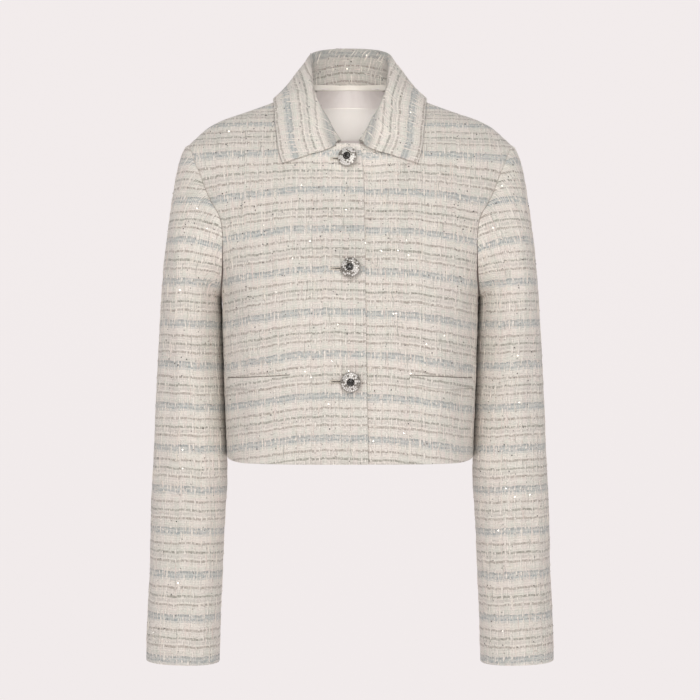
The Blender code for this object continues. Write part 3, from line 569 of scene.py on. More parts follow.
def tweed_weave():
    """The colour and relief of the tweed, from a place in the weave in metres: weft rows of many yarns,
    wavy and mottled, broken into dashes by the warp, with thick uneven cream slubs running up over them."""
    tree, across, up, _, end = new_group("tweed_weave")

    def cloud(across_pitch, up_pitch, detail=2.0):
        return noise(times(across, 1 / across_pitch), times(up, 1 / up_pitch), detail)

    def floor(value):
        return calc("FLOOR", value)

    lane = times(cloud(30, 70), 0.8, times(across, 1 / SLUB_PITCH))
    slub = floor(lane)
    shifted = times(chance(slub, 3.0), ROW_SHIFT, up)
    moved = times(cloud(60, 45), 3.0, times(cloud(3.2, 5.0), 1.3, shifted))
    down = times(calc("SUBTRACT", REPEAT_TOP + ROWS_RAISED + ROW_SHIFT / 2, moved), 1 / REPEAT)
    many = float(len(WEFT_ROWS))
    rows_down = times(down, many)
    row = floor(rows_down)
    share = times(calc("FLOORED_MODULO", row, many), 1 / many, 0.5 / many)
    yarn = weft_ramp(share, [colour(*YARNS[name]) for name, _ in WEFT_ROWS])
    solid = weft_ramp(share, [(b, b, b, 1.0) for _, b in WEFT_ROWS])

    warp = times(cloud(9, 14), 1.1, times(across, 1 / WARP_PITCH))
    thread = floor(warp)
    thread_at, row_at_it = calc("PINGPONG", warp, 0.5), calc("PINGPONG", rows_down, 0.5)
    luck = chance(thread, row)
    shows = calc("MAXIMUM", spread(thread_at, 0.44, 0.24), spread(luck, 0.66, 0.86))
    shows = times(times(shows, spread(luck, 0.02, 0.2, 0.30)), spread(row_at_it, -0.08, 0.08))
    tint = chance(slub, floor(times(up, 1 / 26)))
    ground = mixed(spread(tint, 0.25, 0.75), colour(226, 217, 209), colour(219, 216, 206))
    ground = mixed(spread(chance(thread, 7.0), 0.4, 0.9, 0, 0.6), ground, colour(236, 230, 221))
    cloth = mixed(times(solid, 0.36), ground, yarn)
    cloth = mixed(times(shows, solid), cloth, yarn)
    mottle = cloud(5.0, 1.6, 3.0)
    cloth = mixed(spread(mottle, 0.50, 0.72, 0.0, 0.45), cloth, ground)
    cloth = mixed(spread(mottle, 0.47, 0.30, 0.0, 0.40), cloth, colour(182, 175, 165))
    # Painted sheen: a thin light line along the edge of some rows, for the shine of a glossy weft yarn.
    painted_sheen_rows = calc("GREATER_THAN", chance(row, floor(times(across, 1 / 19))), 0.62)
    cloth = mixed(times(painted_sheen_rows, spread(row_at_it, 0.16, 0.02, 0.0, 0.75)), cloth, colour(241, 236, 227))

    aside = times(chance(slub), 0.5, -0.75)
    sway = noise(times(slub, 7.3), times(up, 1 / 11))
    off = calc("ADD", calc("ADD", calc("FRACT", lane), aside), times(sway, 1 / 3, -0.166))
    beside = times(off, SLUB_PITCH)
    width = spread(noise(times(slub, 3.7), times(up, 1 / 5.5), 3.0), 0.40, 0.64, -0.35, 1.15)
    cover = spread(calc("SUBTRACT", width, calc("ABSOLUTE", beside)), -0.15, 0.3)
    shadow_off = calc("ABSOLUTE", times(beside, 1.0, -0.75))
    shadow = spread(calc("SUBTRACT", width, shadow_off), -0.1, 0.6, 0.0, 0.45)
    cloth = mixed(shadow, cloth, colour(160, 152, 143))
    cloth = mixed(times(cover, 0.85), cloth, colour(240, 233, 224))

    relief = times(thread_at, 0.9, times(row_at_it, 1.1))
    # Painted shade: darker where threads and rows dip at their edges; tone also varies at random.
    value = calc("ADD", times(relief, 0.24, 0.86), times(cloud(90, 70), 0.08, -0.04))
    cloth = node("HueSaturation", {"Value": value, "Color": cloth}).outputs[0]
    cell = node("CombineXYZ", {0: times(across, 1 / 14), 1: times(up, 1 / 14)}).outputs[0]
    speck = node("TexVoronoi", {"Vector": cell, "Scale": 1.0}, voronoi_dimensions="2D").outputs
    seldom = calc("GREATER_THAN", node("SeparateXYZ", {0: speck["Color"]}).outputs[0], 0.6)
    fleck = times(times(calc("LESS_THAN", speck["Distance"], 0.05), seldom), 0.75)
    cloth = mixed(fleck, cloth, colour(104, 97, 90))
    tree.links.new(cloth, end["Color"])
    tree.links.new(times(cover, 1.2, calc("ADD", relief, cloud(0.8, 0.8))), end["Height"])
    return tree


def satin_sheen():
    """Woven satin: fine twill lines, a soft mottle along the warp, and the height of both."""
    tree, across, up, (light, dark, *_), end = new_group("satin_sheen", "Light", "Dark")
    twill = calc("PINGPONG", times(up, 2.2, times(across, 3.1)), 0.5)
    cloud = noise(times(across, 0.11), times(up, 0.03))
    tree.links.new(mixed(times(twill, 0.5, times(cloud, 0.8)), light, dark), end["Color"])
    tree.links.new(times(cloud, 0.5, twill), end["Height"])
    return tree


def shaded(name, roughness, metallic=0.0, **sockets):
    """A new material and its main shader, with the sockets that are the same all over."""
    made = bpy.data.materials.new(name)
    made.use_nodes = True
    shader = made.node_tree.nodes["Principled BSDF"]
    for socket, value in {"Roughness": roughness, "Metallic": metallic, **sockets}.items():
        shader.inputs[socket.replace("_", " ")].default_value = value
    return made, shader


def woven(shader, group, relief, strength, **colours):
    """A weave on a shader: its place in the grain, its colour and its relief in metres."""
    grain = node("UVMap", {}, shader.id_data, uv_map="grain").outputs[0]
    out = node("Group", {"Grain": grain, **colours}, node_tree=group).outputs
    bump = node("Bump", {"Height": out["Height"], "Distance": relief, "Strength": strength})
    for output, socket in ((out["Color"], "Base Color"), (bump.outputs[0], "Normal")):
        shader.id_data.links.new(output, shader.inputs[socket])
    return grain, out["Color"]


def tweed_finish(name):
    made, shader = shaded(name, 0.88, Sheen_Weight=0.25, Sheen_Roughness=0.6, Specular_IOR_Level=0.25)
    return made, shader, *woven(shader, weave, 0.0005, 0.8)


def satin_finish(name, light, dark, roughness, relief=0.0001):
    made, shader = shaded(name, roughness, Sheen_Weight=0.15, Specular_IOR_Level=0.5)
    woven(shader, sheen, relief, 0.6, Light=colour(*light), Dark=colour(*dark))
    return made


weave, sheen = tweed_weave(), satin_sheen()
tweed = tweed_finish("boucle_tweed")[0]
lining_satin = satin_finish("lining_satin", (243, 236, 232), (226, 217, 213), 0.38)
FACING_WIDTH, TURN_UP = 58.0, 34.0  # how far the tweed is turned in along the front edges and the hems


def panel(name, places, layer, middle, faced, matched=0.0, slit=None, **rolls):
    """A piece of the body with its lining behind it. faced says where the tweed is turned in, and matched how
    far its stripes lie below those of the piece beside it."""
    places = closer_at_the_rim(places)
    slit = slit and tuple(at + len(NEXT_TO_THE_RIM) - 1 for at in slit)
    face = layer(places, -rolled_under(layer(places, 0.0), top=SEAM_ROLL, **rolls))
    laid = grain_of_body(places, middle) + np.array([0.0, matched])
    under = layer(places, -TWEED_WALL)
    outer_faces[name] = face, laid, slit
    return wall(f"{name}_cloth", face, under, laid, [tweed, lining_satin], ~faced(places), slit=slit)


def front_facing(places):
    past_the_edge = np.abs(torso(places[..., 0], places[..., 1])[..., 0]) < FACING_WIDTH
    return past_the_edge | (places[..., 1] < HEM_HEIGHT + TURN_UP)


outer_faces = {}
left_places = front_places()
LEFT_FRONT_DROP = 1.85  # how much lower its stripes run where the right front laps over it
for side, places, layer, rolls in (
    ("left", left_places, under_the_right_front, {"last": SEAM_ROLL, "matched": LEFT_FRONT_DROP}),
    ("right", other_side(left_places), torso_layer, {"first": SEAM_ROLL}),
):
    front = panel(f"front_{side}", places, layer, 0.0, front_facing, **rolls)
    sewn(front, "tweed", f"front_{side}", flat=(0.245, 0.465), held="hung", rests_on=["back"], area=0.0855)


# ---------------------------------------------------------------- the back
# The back is one piece of the same tweed, cut on the fold at the centre, with its stripes matched to the
# fronts at the side seams. It is sewn to them at the sides and the shoulders, edges pressed open inside.


def half_back_places():
    """The left half of the back, from the side seam and the armhole to the centre, hem to shoulder."""
    heights = centre_heights(hem_height(180.0), neck_height(180.0))
    centre = np.stack([heights * 0 + 180.0, heights], -1)
    centre = np.vstack([centre, neck_places(180.0, 90.0, NECKLINE_ROWS + 1)[1:]])
    return drawn_in(rows_between(up_the_side(360), centre, HALF_COLUMNS), 0)


def turned_up_at_the_hem(places):
    return places[..., 1] < HEM_HEIGHT + HEM_SIDE_RISE + TURN_UP


left_half = half_back_places()
whole_back = np.hstack([left_half, other_side(left_half) + np.array([360.0, 0.0])])
neck_hole = (BELOW_ROWS + ARMHOLE_ROWS - NECKLINE_ROWS, HALF_COLUMNS)
seams = {"slit": neck_hole, "first": SEAM_ROLL, "last": SEAM_ROLL}
back = panel("back", whole_back, torso_layer, 180.0, turned_up_at_the_hem, **seams)
sewn(back, "tweed", "back", flat=(0.47, 0.46), held="hung", rests_on=["neck_tape"], area=0.178)


# ---------------------------------------------------------------- the sleeves
# Each sleeve is cut in two pieces, a wide top sleeve and a narrow under sleeve, with seams in front next to
# the body and behind. The cap is eased into the armhole, and a row of easing shows as a small rise there.

CUFF, CUFF_TILT = -643.0, 2.5
CAP_START, CAP_START_RISE = -238.0, 84.0
TUBE_ROWS, CAP_ROWS = 180, 54
FRONT_SLEEVE_SEAM, BACK_SLEEVE_SEAM = 168.0, 252.0
SLEEVE = table(
    "height outer inner middle half_depth",
    (-660, 232.8, 149.4, -23, 46.5), (-636, 232.6, 149, -22, 47), (-590, 231.8, 148, -19, 47.5),
    (-544, 230, 146.2, -15, 48), (-497, 229, 144.5, -12, 48.5), (-451, 227.4, 141.8, -9, 50),
    (-405, 225, 141.4, -7, 52.5), (-359, 223.2, 142.9, -5, 56), (-313, 221.2, 144.9, -4, 59.5),
    (-267, 218.8, 146.7, -3, 63), (-220, 216, 148.9, -2, 66), (-180, 212.5, 152, -2, 67),
    (-140, 207.5, 155, -1, 66),
)
SLEEVE_SQUARE, SLEEVE_RADIUS = 2.25, 48.0
SLEEVE_FOLDS = table(
    "around spread depth top bottom",
    (58, 16, -2.6, -250, -420), (100, 15, 1.8, -230, -390), (30, 14, 1.6, -300, -470),
    (75, 18, -2.2, -415, -560), (20, 18, -1.6, -470, -640), (300, 18, -2.4, -300, -470),
    (255, 16, 1.8, -280, -430), (320, 18, -1.8, -450, -620),
)
SLEEVE_CREASES = table(
    "around height spread_around spread_height depth slant",
    (120, -236, 20, 11, -0.9, 0.25), (104, -262, 26, 9, 0.7, 0.30), (135, -300, 22, 12, -0.8, 0.20),
    (128, -404, 26, 10, -1.2, 0.35), (112, -430, 30, 9, 0.9, 0.30), (134, -452, 24, 11, -0.9, -0.25),
    (60, -476, 30, 13, -0.5, -0.30), (96, -590, 26, 14, -0.6, 0.20), (222, -408, 30, 11, -1.4, -0.25),
    (240, -440, 30, 10, 1, 0.25), (214, -468, 26, 12, -1, 0.20), (236, -262, 24, 14, -1.1, -0.30),
    (262, -300, 26, 13, 0.8, 0.25), (290, -520, 30, 16, -0.6, 0.20),
)
SLEEVE_HEAD = table(
    "angle out forward down hold start_lift",
    (0, 0.95, 0, 0.26, 40, 0), (40, 0.92, 0.35, 0.20, 34, 0), (80, 0.90, 0.45, 0.05, 34, 0.2),
    (110, 0.85, 0.40, 0.30, 26, 0.6), (140, 0.65, 0.20, 0.72, 20, 1), (180, 0.12, 0, 1, 12, 1.2),
)
HEAD_ARRIVAL = 1.12
STEP_UP = 0.01  # the share of the height over which the slope of the sleeve's face is taken


def tube(around, height):
    """Points of the left sleeve's outer face, by degrees round it and height."""
    around, height = np.broadcast_arrays(np.asarray(around, float), np.asarray(height, float))
    row = row_at(SLEEVE, height)
    angle = np.radians(around)
    centre = np.stack([(row["outer"] + row["inner"]) / 2, row["middle"], height], -1)
    across = (row["outer"] - row["inner"]) / 2 * squared_off(np.cos(angle), SLEEVE_SQUARE)
    along = -row["half_depth"] * squared_off(np.sin(angle), SLEEVE_SQUARE)
    points = centre + np.stack([across, along, height * 0], -1)
    return points + unit(points - centre) * fold_depth(SLEEVE_FOLDS, np.mod(around, 360), height)


def cap_start(around):
    return CAP_START + CAP_START_RISE * (1 + np.cos(np.radians(around))) / 2


def cuff_height(around):
    return CUFF - CUFF_TILT * (1 - np.cos(np.radians(around))) / 2


def sleeve_head(around):
    """Where the sleeve starts at the armhole, and the direction and strength with which it leaves it."""
    turn, height = armhole(around)
    row = row_at(SLEEVE_HEAD, np.where(around > 180, 360 - around, around))
    facing = np.where(around > 180, 1.0, -1.0)
    leave = unit(np.stack([row["out"], facing * row["forward"], -row["down"]], -1))
    normal = normals_of(torso, turn, height)
    along = unit(leave - np.sum(leave * normal, -1, keepdims=True) * normal)
    start = torso(turn, height) + row["start_lift"][..., None] * normal + SEAM_GAP * along
    return start, leave * row["hold"][..., None]


def sleeve(around, up):
    """Points of the left sleeve's outer face. up is 0 at the cuff, 1 where the cap starts and 2 at the
    armhole."""
    around, up = np.broadcast_arrays(np.mod(np.asarray(around, float), 360), np.asarray(up, float))
    top, cuff = cap_start(around), cuff_height(around)
    low = tube(around, cuff + (top - cuff) * np.minimum(up, 1.0))
    start, leave = sleeve_head(around)
    end = tube(around, top)
    arrive = unit(tube(around, top - 2.0) - end) * length_of(end - start)[..., None] * HEAD_ARRIVAL
    cap = bent(start, leave, end, arrive, np.clip(2.0 - up, 0.0, 1.0)[..., None])
    return np.where((up > 1.0)[..., None], cap, low)


def sleeve_layer(places, lift):
    """Points this far outside the left sleeve's face, creases and all."""
    around, up = places[..., 0], places[..., 1]
    face = sleeve(around, up)
    inside = np.clip(up, STEP_UP, 2 - STEP_UP)
    out = lift + crease_depth(SLEEVE_CREASES, around, face[..., 2])
    return face + out[..., None] * normals_of(sleeve, around, inside, -0.5, STEP_UP)


# How much lower the weft lies for each step in towards the body, and from where
SLEEVE_SLOPE, SLEEVE_SLOPE_FROM = 0.1, 224.0
# How much flatter the stripes run than the seam would have them, low down and at the head, and about where
SLEEVE_LEVEL, SLEEVE_LEVEL_AT = (0.06, 0.19), 193.0
HEAD_FROM, HEAD_OVER = -175.0, 50.0
# How much the cap is shifted so that its stripes meet the body's in front, and how much more low on the arm
SLEEVE_MATCH, LOW_MATCH, LOW_FROM, LOW_OVER = 9.8, 3.2, -490.0, 90.0


def grain_of_sleeve(places, face):
    """Each point's place in the weave: up along the columns, and round from the line down the outer arm so
    far that lengths on the cloth stay true, as they do in a flat cut."""
    run = runs(face)
    apart = length_of(np.diff(face, axis=1))
    step = np.sqrt(np.maximum(apart**2 - np.diff(run, axis=1) ** 2, (0.3 * apart) ** 2))
    round_it = np.insert(np.cumsum(step, axis=1), 0, 0, axis=1)
    middle = np.argmin(np.abs(places[0, :, 0]))
    side, height = face[..., 0], face[..., 2]
    level = SLEEVE_LEVEL[0] + SLEEVE_LEVEL[1] * ease((height - HEAD_FROM) / HEAD_OVER)
    slope = SLEEVE_SLOPE * (SLEEVE_SLOPE_FROM - side) - level * (SLEEVE_LEVEL_AT - side)
    match = SLEEVE_MATCH + LOW_MATCH * ease((LOW_FROM - height) / LOW_OVER)
    up = cuff_height(places[..., 0]) + run + slope + match
    return np.stack([round_it - round_it[:, middle, None], up], -1)


rows_up = np.concatenate([np.linspace(0, 1, TUBE_ROWS + 1)[:-1], np.linspace(1, 2, CAP_ROWS + 1)])
half_seam = np.degrees(SEAM_GAP / 2 / SLEEVE_RADIUS)
for name, first, last, columns, cut, area in (
    ("top_sleeve", BACK_SLEEVE_SEAM - 360, FRONT_SLEEVE_SEAM, 114, (0.255, 0.63), 0.134),
    ("under_sleeve", FRONT_SLEEVE_SEAM, BACK_SLEEVE_SEAM, 36, (0.085, 0.47), 0.034),
):
    columns_round = np.linspace(last - half_seam, first + half_seam, columns + 1)
    places = closer_at_the_rim(np.stack(np.meshgrid(columns_round, rows_up), -1))
    rolled = rolled_under(sleeve_layer(places, 0.0), top=SEAM_ROLL, first=SEAM_ROLL, last=SEAM_ROLL)
    face, under = sleeve_layer(places, -rolled), sleeve_layer(places, -TWEED_WALL)
    laid, lined = grain_of_sleeve(places, face), face[..., 2] > CUFF + TURN_UP
    for side in ("left", "right"):
        if side == "right":
            face, under, laid, lined = other_side(face), other_side(under), other_side(laid), lined[:, ::-1]
        outer_faces[f"{name}_{side}"] = face, laid, None
        made = wall(f"{name}_{side}_cloth", face, under, laid, [tweed, lining_satin], lined)
        sewn_to = [f"front_{side}_cloth", "back_cloth"]
        sewn(made, "tweed", f"{name}_{side}", flat=cut, held="hung", rests_on=sewn_to, area=area)


# ---------------------------------------------------------------- the collar
# The collar is one strip folded over into stand and fall, cut along the warp so that its stripes run from
# end to end, and interfaced so that it stands clear of the neck. Its two ends meet the fronts at points.

COLLAR_WALL = 2.2
COLLAR_ROWS = 8  # stations between the collar's front end and the shoulder
COLLAR = table(
    "share fold_x fold_y fold_z fold_radius edge_x edge_y edge_z edge_lift",
    (0.00, 10.2, -52.6, -52.8, 2.2, 75.4, -64, -81.4, 2.4),
    (0.10, 18.2, -46.4, -41.8, 2.4, 79.6, -58, -69.7, 2.6),
    (0.22, 25.5, -35, -26.6, 2.6, 82.4, -46, -50, 2.6), (0.34, 34, -21, -11.6, 2.8, 85, -31, -30, 2.6),
    (0.46, 40.8, -9, 7, 3.2, 86.2, -15, -13.5, 2.6), (0.56, 44.3, 6, 24, 3.4, 86.6, 8, -4, 2.8),
    (0.66, 46.4, 21, 39, 3.6, 81.5, 26, -2, 3), (0.76, 47, 35, 51, 3.6, 71, 44, -1, 3.2),
    (0.86, 40, 48.5, 59.8, 3.6, 53, 60, 2.5, 3.6), (0.93, 24, 57, 63.8, 3.6, 29, 68, 8.5, 4),
    (1.00, 0, 61, 65.2, 3.6, 0, 71.5, 12, 4.2),
)
COLLAR_START, FRONT_END_GAP, THIN_END = 12.6, 1.9, 1.5
SEAM_RUN = 1.2, 3.0
FOLD_KNOTS, FALL_ARCH = 5, 4.5
# Where the knots of the fall lie between the fold and the edge, all along and at the very front, and how far
# its lower edge hangs below a straight line there
FALL_AT, FALL_AT_FRONT = np.array([0.3, 0.6, 0.85]), np.array([0.09, 0.48, 0.8])
END_SAG = np.array([6.6, 4.6, 2.2])
COLLAR_CELLS = (0, 1, 1.5, 2, 2.5, 3, 4, 5, 6, 7, 7.5, 8, 8.5, 9, 9.5, 10, 11)
POINTS_ALONG, POINTS_ACROSS = 221, 66


def off_torso(points):
    """Rough distance of points outside the torso form, and the direction away from it."""

    def fullness(p):
        row = row_at(TORSO, p[..., 2])
        back = p[..., 1] - row["side"]
        depth = np.where(back < 0, row["front"], row["back"])
        square = np.where(back < 0, row["front_square"], row["back_square"])
        across, along = np.abs(p[..., 0]) / row["half_width"], np.abs(back) / depth
        return (across**square + along**square) ** (1 / square)

    slope = np.stack([fullness(points + s) - fullness(points - s) for s in np.eye(3) * 0.5], -1)
    return (fullness(points) - 1) / np.maximum(length_of(slope), 1e-6), unit(slope)


def moved_off_torso(points, lift, least=0.0):
    """The points moved straight out, by small steps of at least this much, until they are this far off the
    torso form. With a step below 0, points that are further off come back to it too."""
    for _ in range(12):
        distance, outward = off_torso(points)
        points = points + np.clip(lift - distance, least, 6)[..., None] * outward
    return points


def collar_places():
    """Where the collar's stations are on the neckline, as turns and as shares of the seam."""
    start, corner = turn_at(np.array([COLLAR_START, -FRONT_EDGE["reach"][-1]]), neck_height(1.5))
    ends = ((corner, 90.0), (90.0, 180.0))
    turns = np.unique([neck_places(*pair, COLLAR_ROWS + 1)[:, 0] for pair in ends])
    turns = np.append(start, turns[turns > start + 1.5])
    fine = np.linspace(start, 180.0, FINE)
    run = runs(torso(fine, neck_height(fine)))
    return turns, np.interp(turns, fine, run) / run[-1]


def straight(knots, values, at):
    return np.interp(at, knots, values)


def line_through(knots, points, at, way=through):
    """A line through points of any dimension, at rising knots, read at the places in at."""
    return np.stack([way(knots, of, at) for of in points.T], -1)


def collar_line(turn, share):
    """The collar's middle line at one station, from the neck seam up over the fold to the outer edge."""
    row = row_at(COLLAR, share)
    normal = normals_of(torso, turn, neck_height(turn))
    seam_way = torso(turn + 0.5, neck_height(turn + 0.5)) - torso(turn - 0.5, neck_height(turn - 0.5))
    off_the_body = unit(np.cross(normal, seam_way))
    gap = SEAM_GAP + FRONT_END_GAP * (1 - ease(share * 7))
    seam = torso(turn, neck_height(turn)) + gap * off_the_body - TWEED_WALL / 2 * normal
    stand = seam + (SEAM_RUN[0] + (SEAM_RUN[1] - SEAM_RUN[0]) * ease(share * 5)) * off_the_body
    top, edge = (np.array([row[f"{part}_{way}"] for way in "xyz"]) for part in ("fold", "edge"))
    edge = moved_off_torso(edge, row["edge_lift"], -6)
    apex = unit(top - (seam + edge) / 2)
    outer = unit(normal - np.dot(normal, apex) * apex)
    angle = np.linspace(0, np.pi, FOLD_KNOTS)[:, None]
    fold = top + row["fold_radius"] * (outer * -np.cos(angle) + apex * (np.sin(angle) - 1))
    arch = FALL_ARCH * ease(share * 3) * unit(outer + apex)
    front = 1 - ease(share * 8)
    at = (FALL_AT * (1 - front) + FALL_AT_FRONT * front)[:, None]
    fall = fold[-1] * (1 - at) + edge * at + arch * 4 * at * (1 - at)
    fall[:, 2] -= END_SAG * front
    knots = np.vstack([seam, stand, (stand + fold[0]) / 2, fold, fall, edge])
    run = runs(knots)
    at = np.interp(COLLAR_CELLS, np.arange(len(knots)), run)
    line = line_through(run, knots, at)
    past_fold = at > run[2 + FOLD_KNOTS] - 1e-6
    line[past_fold] = moved_off_torso(line[past_fold], row["edge_lift"])
    return line


def refined(grid, count, axis):
    """The grid with its lines along one axis drawn again as smooth curves through this many points."""
    moved = np.moveaxis(grid, axis, 0)
    run = runs(moved[:, moved.shape[1] // 2])
    lines = line_through(run, moved.reshape(len(run), -1), np.linspace(0, run[-1], count))
    return np.moveaxis(lines.reshape(count, *moved.shape[1:]), 0, axis)


def grid_normals(grid):
    return unit(np.cross(np.gradient(grid, axis=1), np.gradient(grid, axis=0)))


turns, shares = collar_places()
half_collar = np.array([collar_line(turn, share) for turn, share in zip(turns, shares)])
thick = THIN_END + (COLLAR_WALL - THIN_END) * ease(shares * 7)
half_collar = np.dstack([half_collar, np.broadcast_to(thick[:, None], half_collar.shape[:2])])
stations = np.vstack([half_collar, half_collar[-2::-1] * np.array([-1.0, 1.0, 1.0, 1.0])])
strip = refined(refined(stations.swapaxes(0, 1), POINTS_ALONG, 1), POINTS_ACROSS, 0)
strip = closer_at_the_rim(strip)
middle_line, half_wall = strip[..., :3], strip[..., 3:] / 2
outward = grid_normals(middle_line)
face = (middle_line - outward * (half_wall - rolled_under(middle_line)[..., None]))[:, ::-1]
under = (middle_line + outward * half_wall)[:, ::-1]
across = runs(middle_line)
COLLAR_MATCH = -262.0  # where the outer edge lies in the repeat of the weft
STAND_LIFT = 2.4  # how much higher the stripes lie on the back of the stand than on an even strip
STAND_ROWS, STAND_ROWS_OUT, STAND_COLUMNS, STAND_COLUMNS_OUT = 20, 14, 60, 25
width, centre = across[-1:], across.shape[1] // 2
rows, columns = np.indices(across.shape)
on_the_stand = 1 - ease((rows - STAND_ROWS) / STAND_ROWS_OUT)
on_the_stand = on_the_stand * ease((STAND_COLUMNS - np.abs(columns - centre)) / STAND_COLUMNS_OUT)
up = width - across + COLLAR_MATCH + (width[0, centre] + STAND_LIFT - width) * on_the_stand
laid = np.stack([runs(middle_line, 1), up], -1)[:, ::-1]

collar_tweed, shader, grain, cloth = tweed_finish("collar_tweed")
up_the_strip = node("SeparateXYZ", {0: grain}).outputs[1]
# Painted shade: the inside of the stand is darkened, where the fall of the collar shades it.
painted_stand_shade = spread(up_the_strip, -0.211, -0.203, 0.0, 0.3)  # painted shade inside the stand
grain.id_data.links.new(mixed(painted_stand_shade, cloth, colour(112, 105, 96)), shader.inputs["Base Color"])
# Under the collar a darker felt: partly real, partly painted shade to deepen the line under the fall.
under_felt_and_shade = satin_finish("under_collar_felt_and_shade", (118, 108, 98), (88, 80, 72), 0.95, 0.0002)
felt_and_shade_under = np.ones(face.shape[:2], bool)
felt_and_shade_under[:, :5] = felt_and_shade_under[:, -5:] = False
collar = wall("collar_cloth", face, under, laid, [collar_tweed, under_felt_and_shade], felt_and_shade_under, every=3)
outer_faces["collar"] = face, laid, None
sewn_to = ["front_left_cloth", "back_cloth"]
sewn(collar, "tweed", "collar", flat=(0.42, 0.118), held="folded", rests_on=sewn_to, area=0.042)


# ---------------------------------------------------------------- the pocket welts
# A narrow welt of tweed is let into each front, its stripes matched to the front's, and stands a little
# proud of it. Its top edge is left open; a thin strip along it is painted with the pocket's dark shadow.

WELT_WALL = 1.8
WELT = table(
    "side bottom top",
    (66, -326, -317.6), (88, -331.5, -319), (107, -333.5, -320), (124, -333, -320.8), (137, -332, -321),
)
MOUTH_HEIGHT, MOUTH_LIFT, MOUTH_WALL = 1.0, 0.25, 0.25
WELT_FOOT = 0.4  # how thick the welt is at its foot and its ends, as a share of its wall
WELT_ENDS = 16.0  # how far in from its first end the welt reaches its full wall


def speckled(name, roughness, metallic, size, first, second):
    """A material in spots of two colours, of about a size in millimetres."""
    made, shader = shaded(name, roughness, metallic)
    place = node("TexCoord", {}, shader.id_data).outputs["Object"]
    spots = node("TexNoise", {"Vector": place, "Scale": 1000 / size, "Detail": 1.0}).outputs[0]
    shader.id_data.links.new(mixed(spots, colour(*first), colour(*second)), shader.inputs["Base Color"])
    return made


def strip_on_front(low, rise, rows):
    """Places on the left front from one of the welt's lines up to its top, or to a rise above that."""
    side = np.linspace(WELT["side"][0], WELT["side"][-1], 47)
    line = row_at(WELT, side)
    share = np.linspace(0, 1, rows + 1)[:, None]
    height = line[low] * (1 - share) + (line["top"] + rise) * share
    return np.stack([turn_at(side, height), height], -1)


# Painted shadow: the pocket's dark mouth, on a thin strip laid on the front along the welt's top.
painted_pocket_shadow = speckled("pocket_shadow_strip", 0.9, 0.0, 1.8, (176, 167, 156), (104, 96, 87))
places, mouth = closer_at_the_rim(strip_on_front("bottom", 0.0, 8)), strip_on_front("top", MOUTH_HEIGHT, 2)
for side in ("left", "right"):
    if side == "right":
        places, mouth = other_side(places), other_side(mouth)
    flat = torso_layer(places, 0.0)
    from_the_end = ease((np.abs(flat[..., 0]) - WELT["side"][0]) / WELT_ENDS)
    fuller = np.linspace(0, 1, len(places))[:, None] * from_the_end
    thick = WELT_WALL * (WELT_FOOT + (1 - WELT_FOOT) * fuller)
    face = torso_layer(places, LAYER_GAP + thick - np.minimum(rolled_under(flat), thick * 0.6))
    under, laid = torso_layer(places, LAYER_GAP), grain_of_body(places, 0.0)
    welt = wall(f"welt_{side}_cloth", face, under, laid, [tweed])
    sewn(welt, "tweed", f"welt_{side}", flat=(0.074, 0.014), held="laid", rests_on=[f"front_{side}_cloth"])
    # the strip of painted shadow along the top of the welt
    outer, inner = torso_layer(mouth, MOUTH_LIFT), torso_layer(mouth, MOUTH_LIFT - MOUTH_WALL)
    wall(f"pocket_shadow_strip_{side}", outer, inner, grain_of_body(mouth, 0.0), [painted_pocket_shadow])


# ---------------------------------------------------------------- the inside of the back neck
# A cotton tape covers the seam at the back neck. Below it the satin lining hangs in soft pleats, and a woven
# satin label with turned-in edges is sewn to it, left bare.

LINING_WALL, LABEL_WALL, LINING_GAP = 1.0, 0.8, 1.5
TAPE_REACH, TAPE_WALL, TAPE_LOW, TAPE_OUT, TAPE_BOW = 42.0, 0.8, 20.1, 6.6, 0.0004
# Which row of the collar's strip the tape reaches up to, by its columns from the middle
TAPE_TOP = table("column row", (0, 4.1), (9, 4.2), (15, 4.7), (21, 5.7), (27, 7.1), (33, 9.0), (42, 10.4))
TAPE_CUT, TAPE_LEFT = (0.118, 0.0104), 0.86
LINING_TUCK, LINING_BOTTOM, LINING_REACH = 1.2, 88.0, 60.0
LABEL_TOP, LABEL_BOTTOM, LABEL_HALF_WIDTH = 22.5, 60.0, 35.0
PLEATS, PLEAT_DEPTH = 6, 0.7
STITCH_EVERY, STITCH_LONG = 2.4, 1.5
INTO_JACKET = np.array([0.0, -1.0, 0.0])


def strands(name, lines, up, radius, finishes, kinds=None, sides=5, flatness=1.0):
    """Many short threads as one mesh. lines has the points of each in millimetres, (threads, points, 3), up
    the way out of the cloth, radius the thickness at each point and kinds the finish of each."""
    threads, knots = lines.shape[:2]
    along = unit(np.gradient(lines, axis=1))
    side = unit(np.cross(along, np.broadcast_to(up, lines.shape)))
    out = np.cross(side, along)
    radius = np.broadcast_to(radius, (threads, knots))[..., None, None]
    angle = np.linspace(0, 2 * np.pi, sides, endpoint=False)[:, None]
    ring = side[:, :, None] * np.cos(angle) + out[:, :, None] * (np.sin(angle) * flatness)
    points = (lines[:, :, None] + radius * ring).reshape(-1, 3)
    corner = np.arange(threads * knots * sides).reshape(threads, knots, sides)
    after = np.roll(corner, -1, axis=2)
    quads = np.stack([corner[:, :-1], corner[:, 1:], after[:, 1:], after[:, :-1]], -1).reshape(-1, 4)
    ends = np.concatenate([corner[:, 0], corner[:, -1, ::-1]])
    if kinds is not None:
        kinds = np.concatenate([np.repeat(kinds, (knots - 1) * sides), kinds, kinds])
    return piece(name, points, quads.tolist() + ends.tolist(), finishes, kinds)


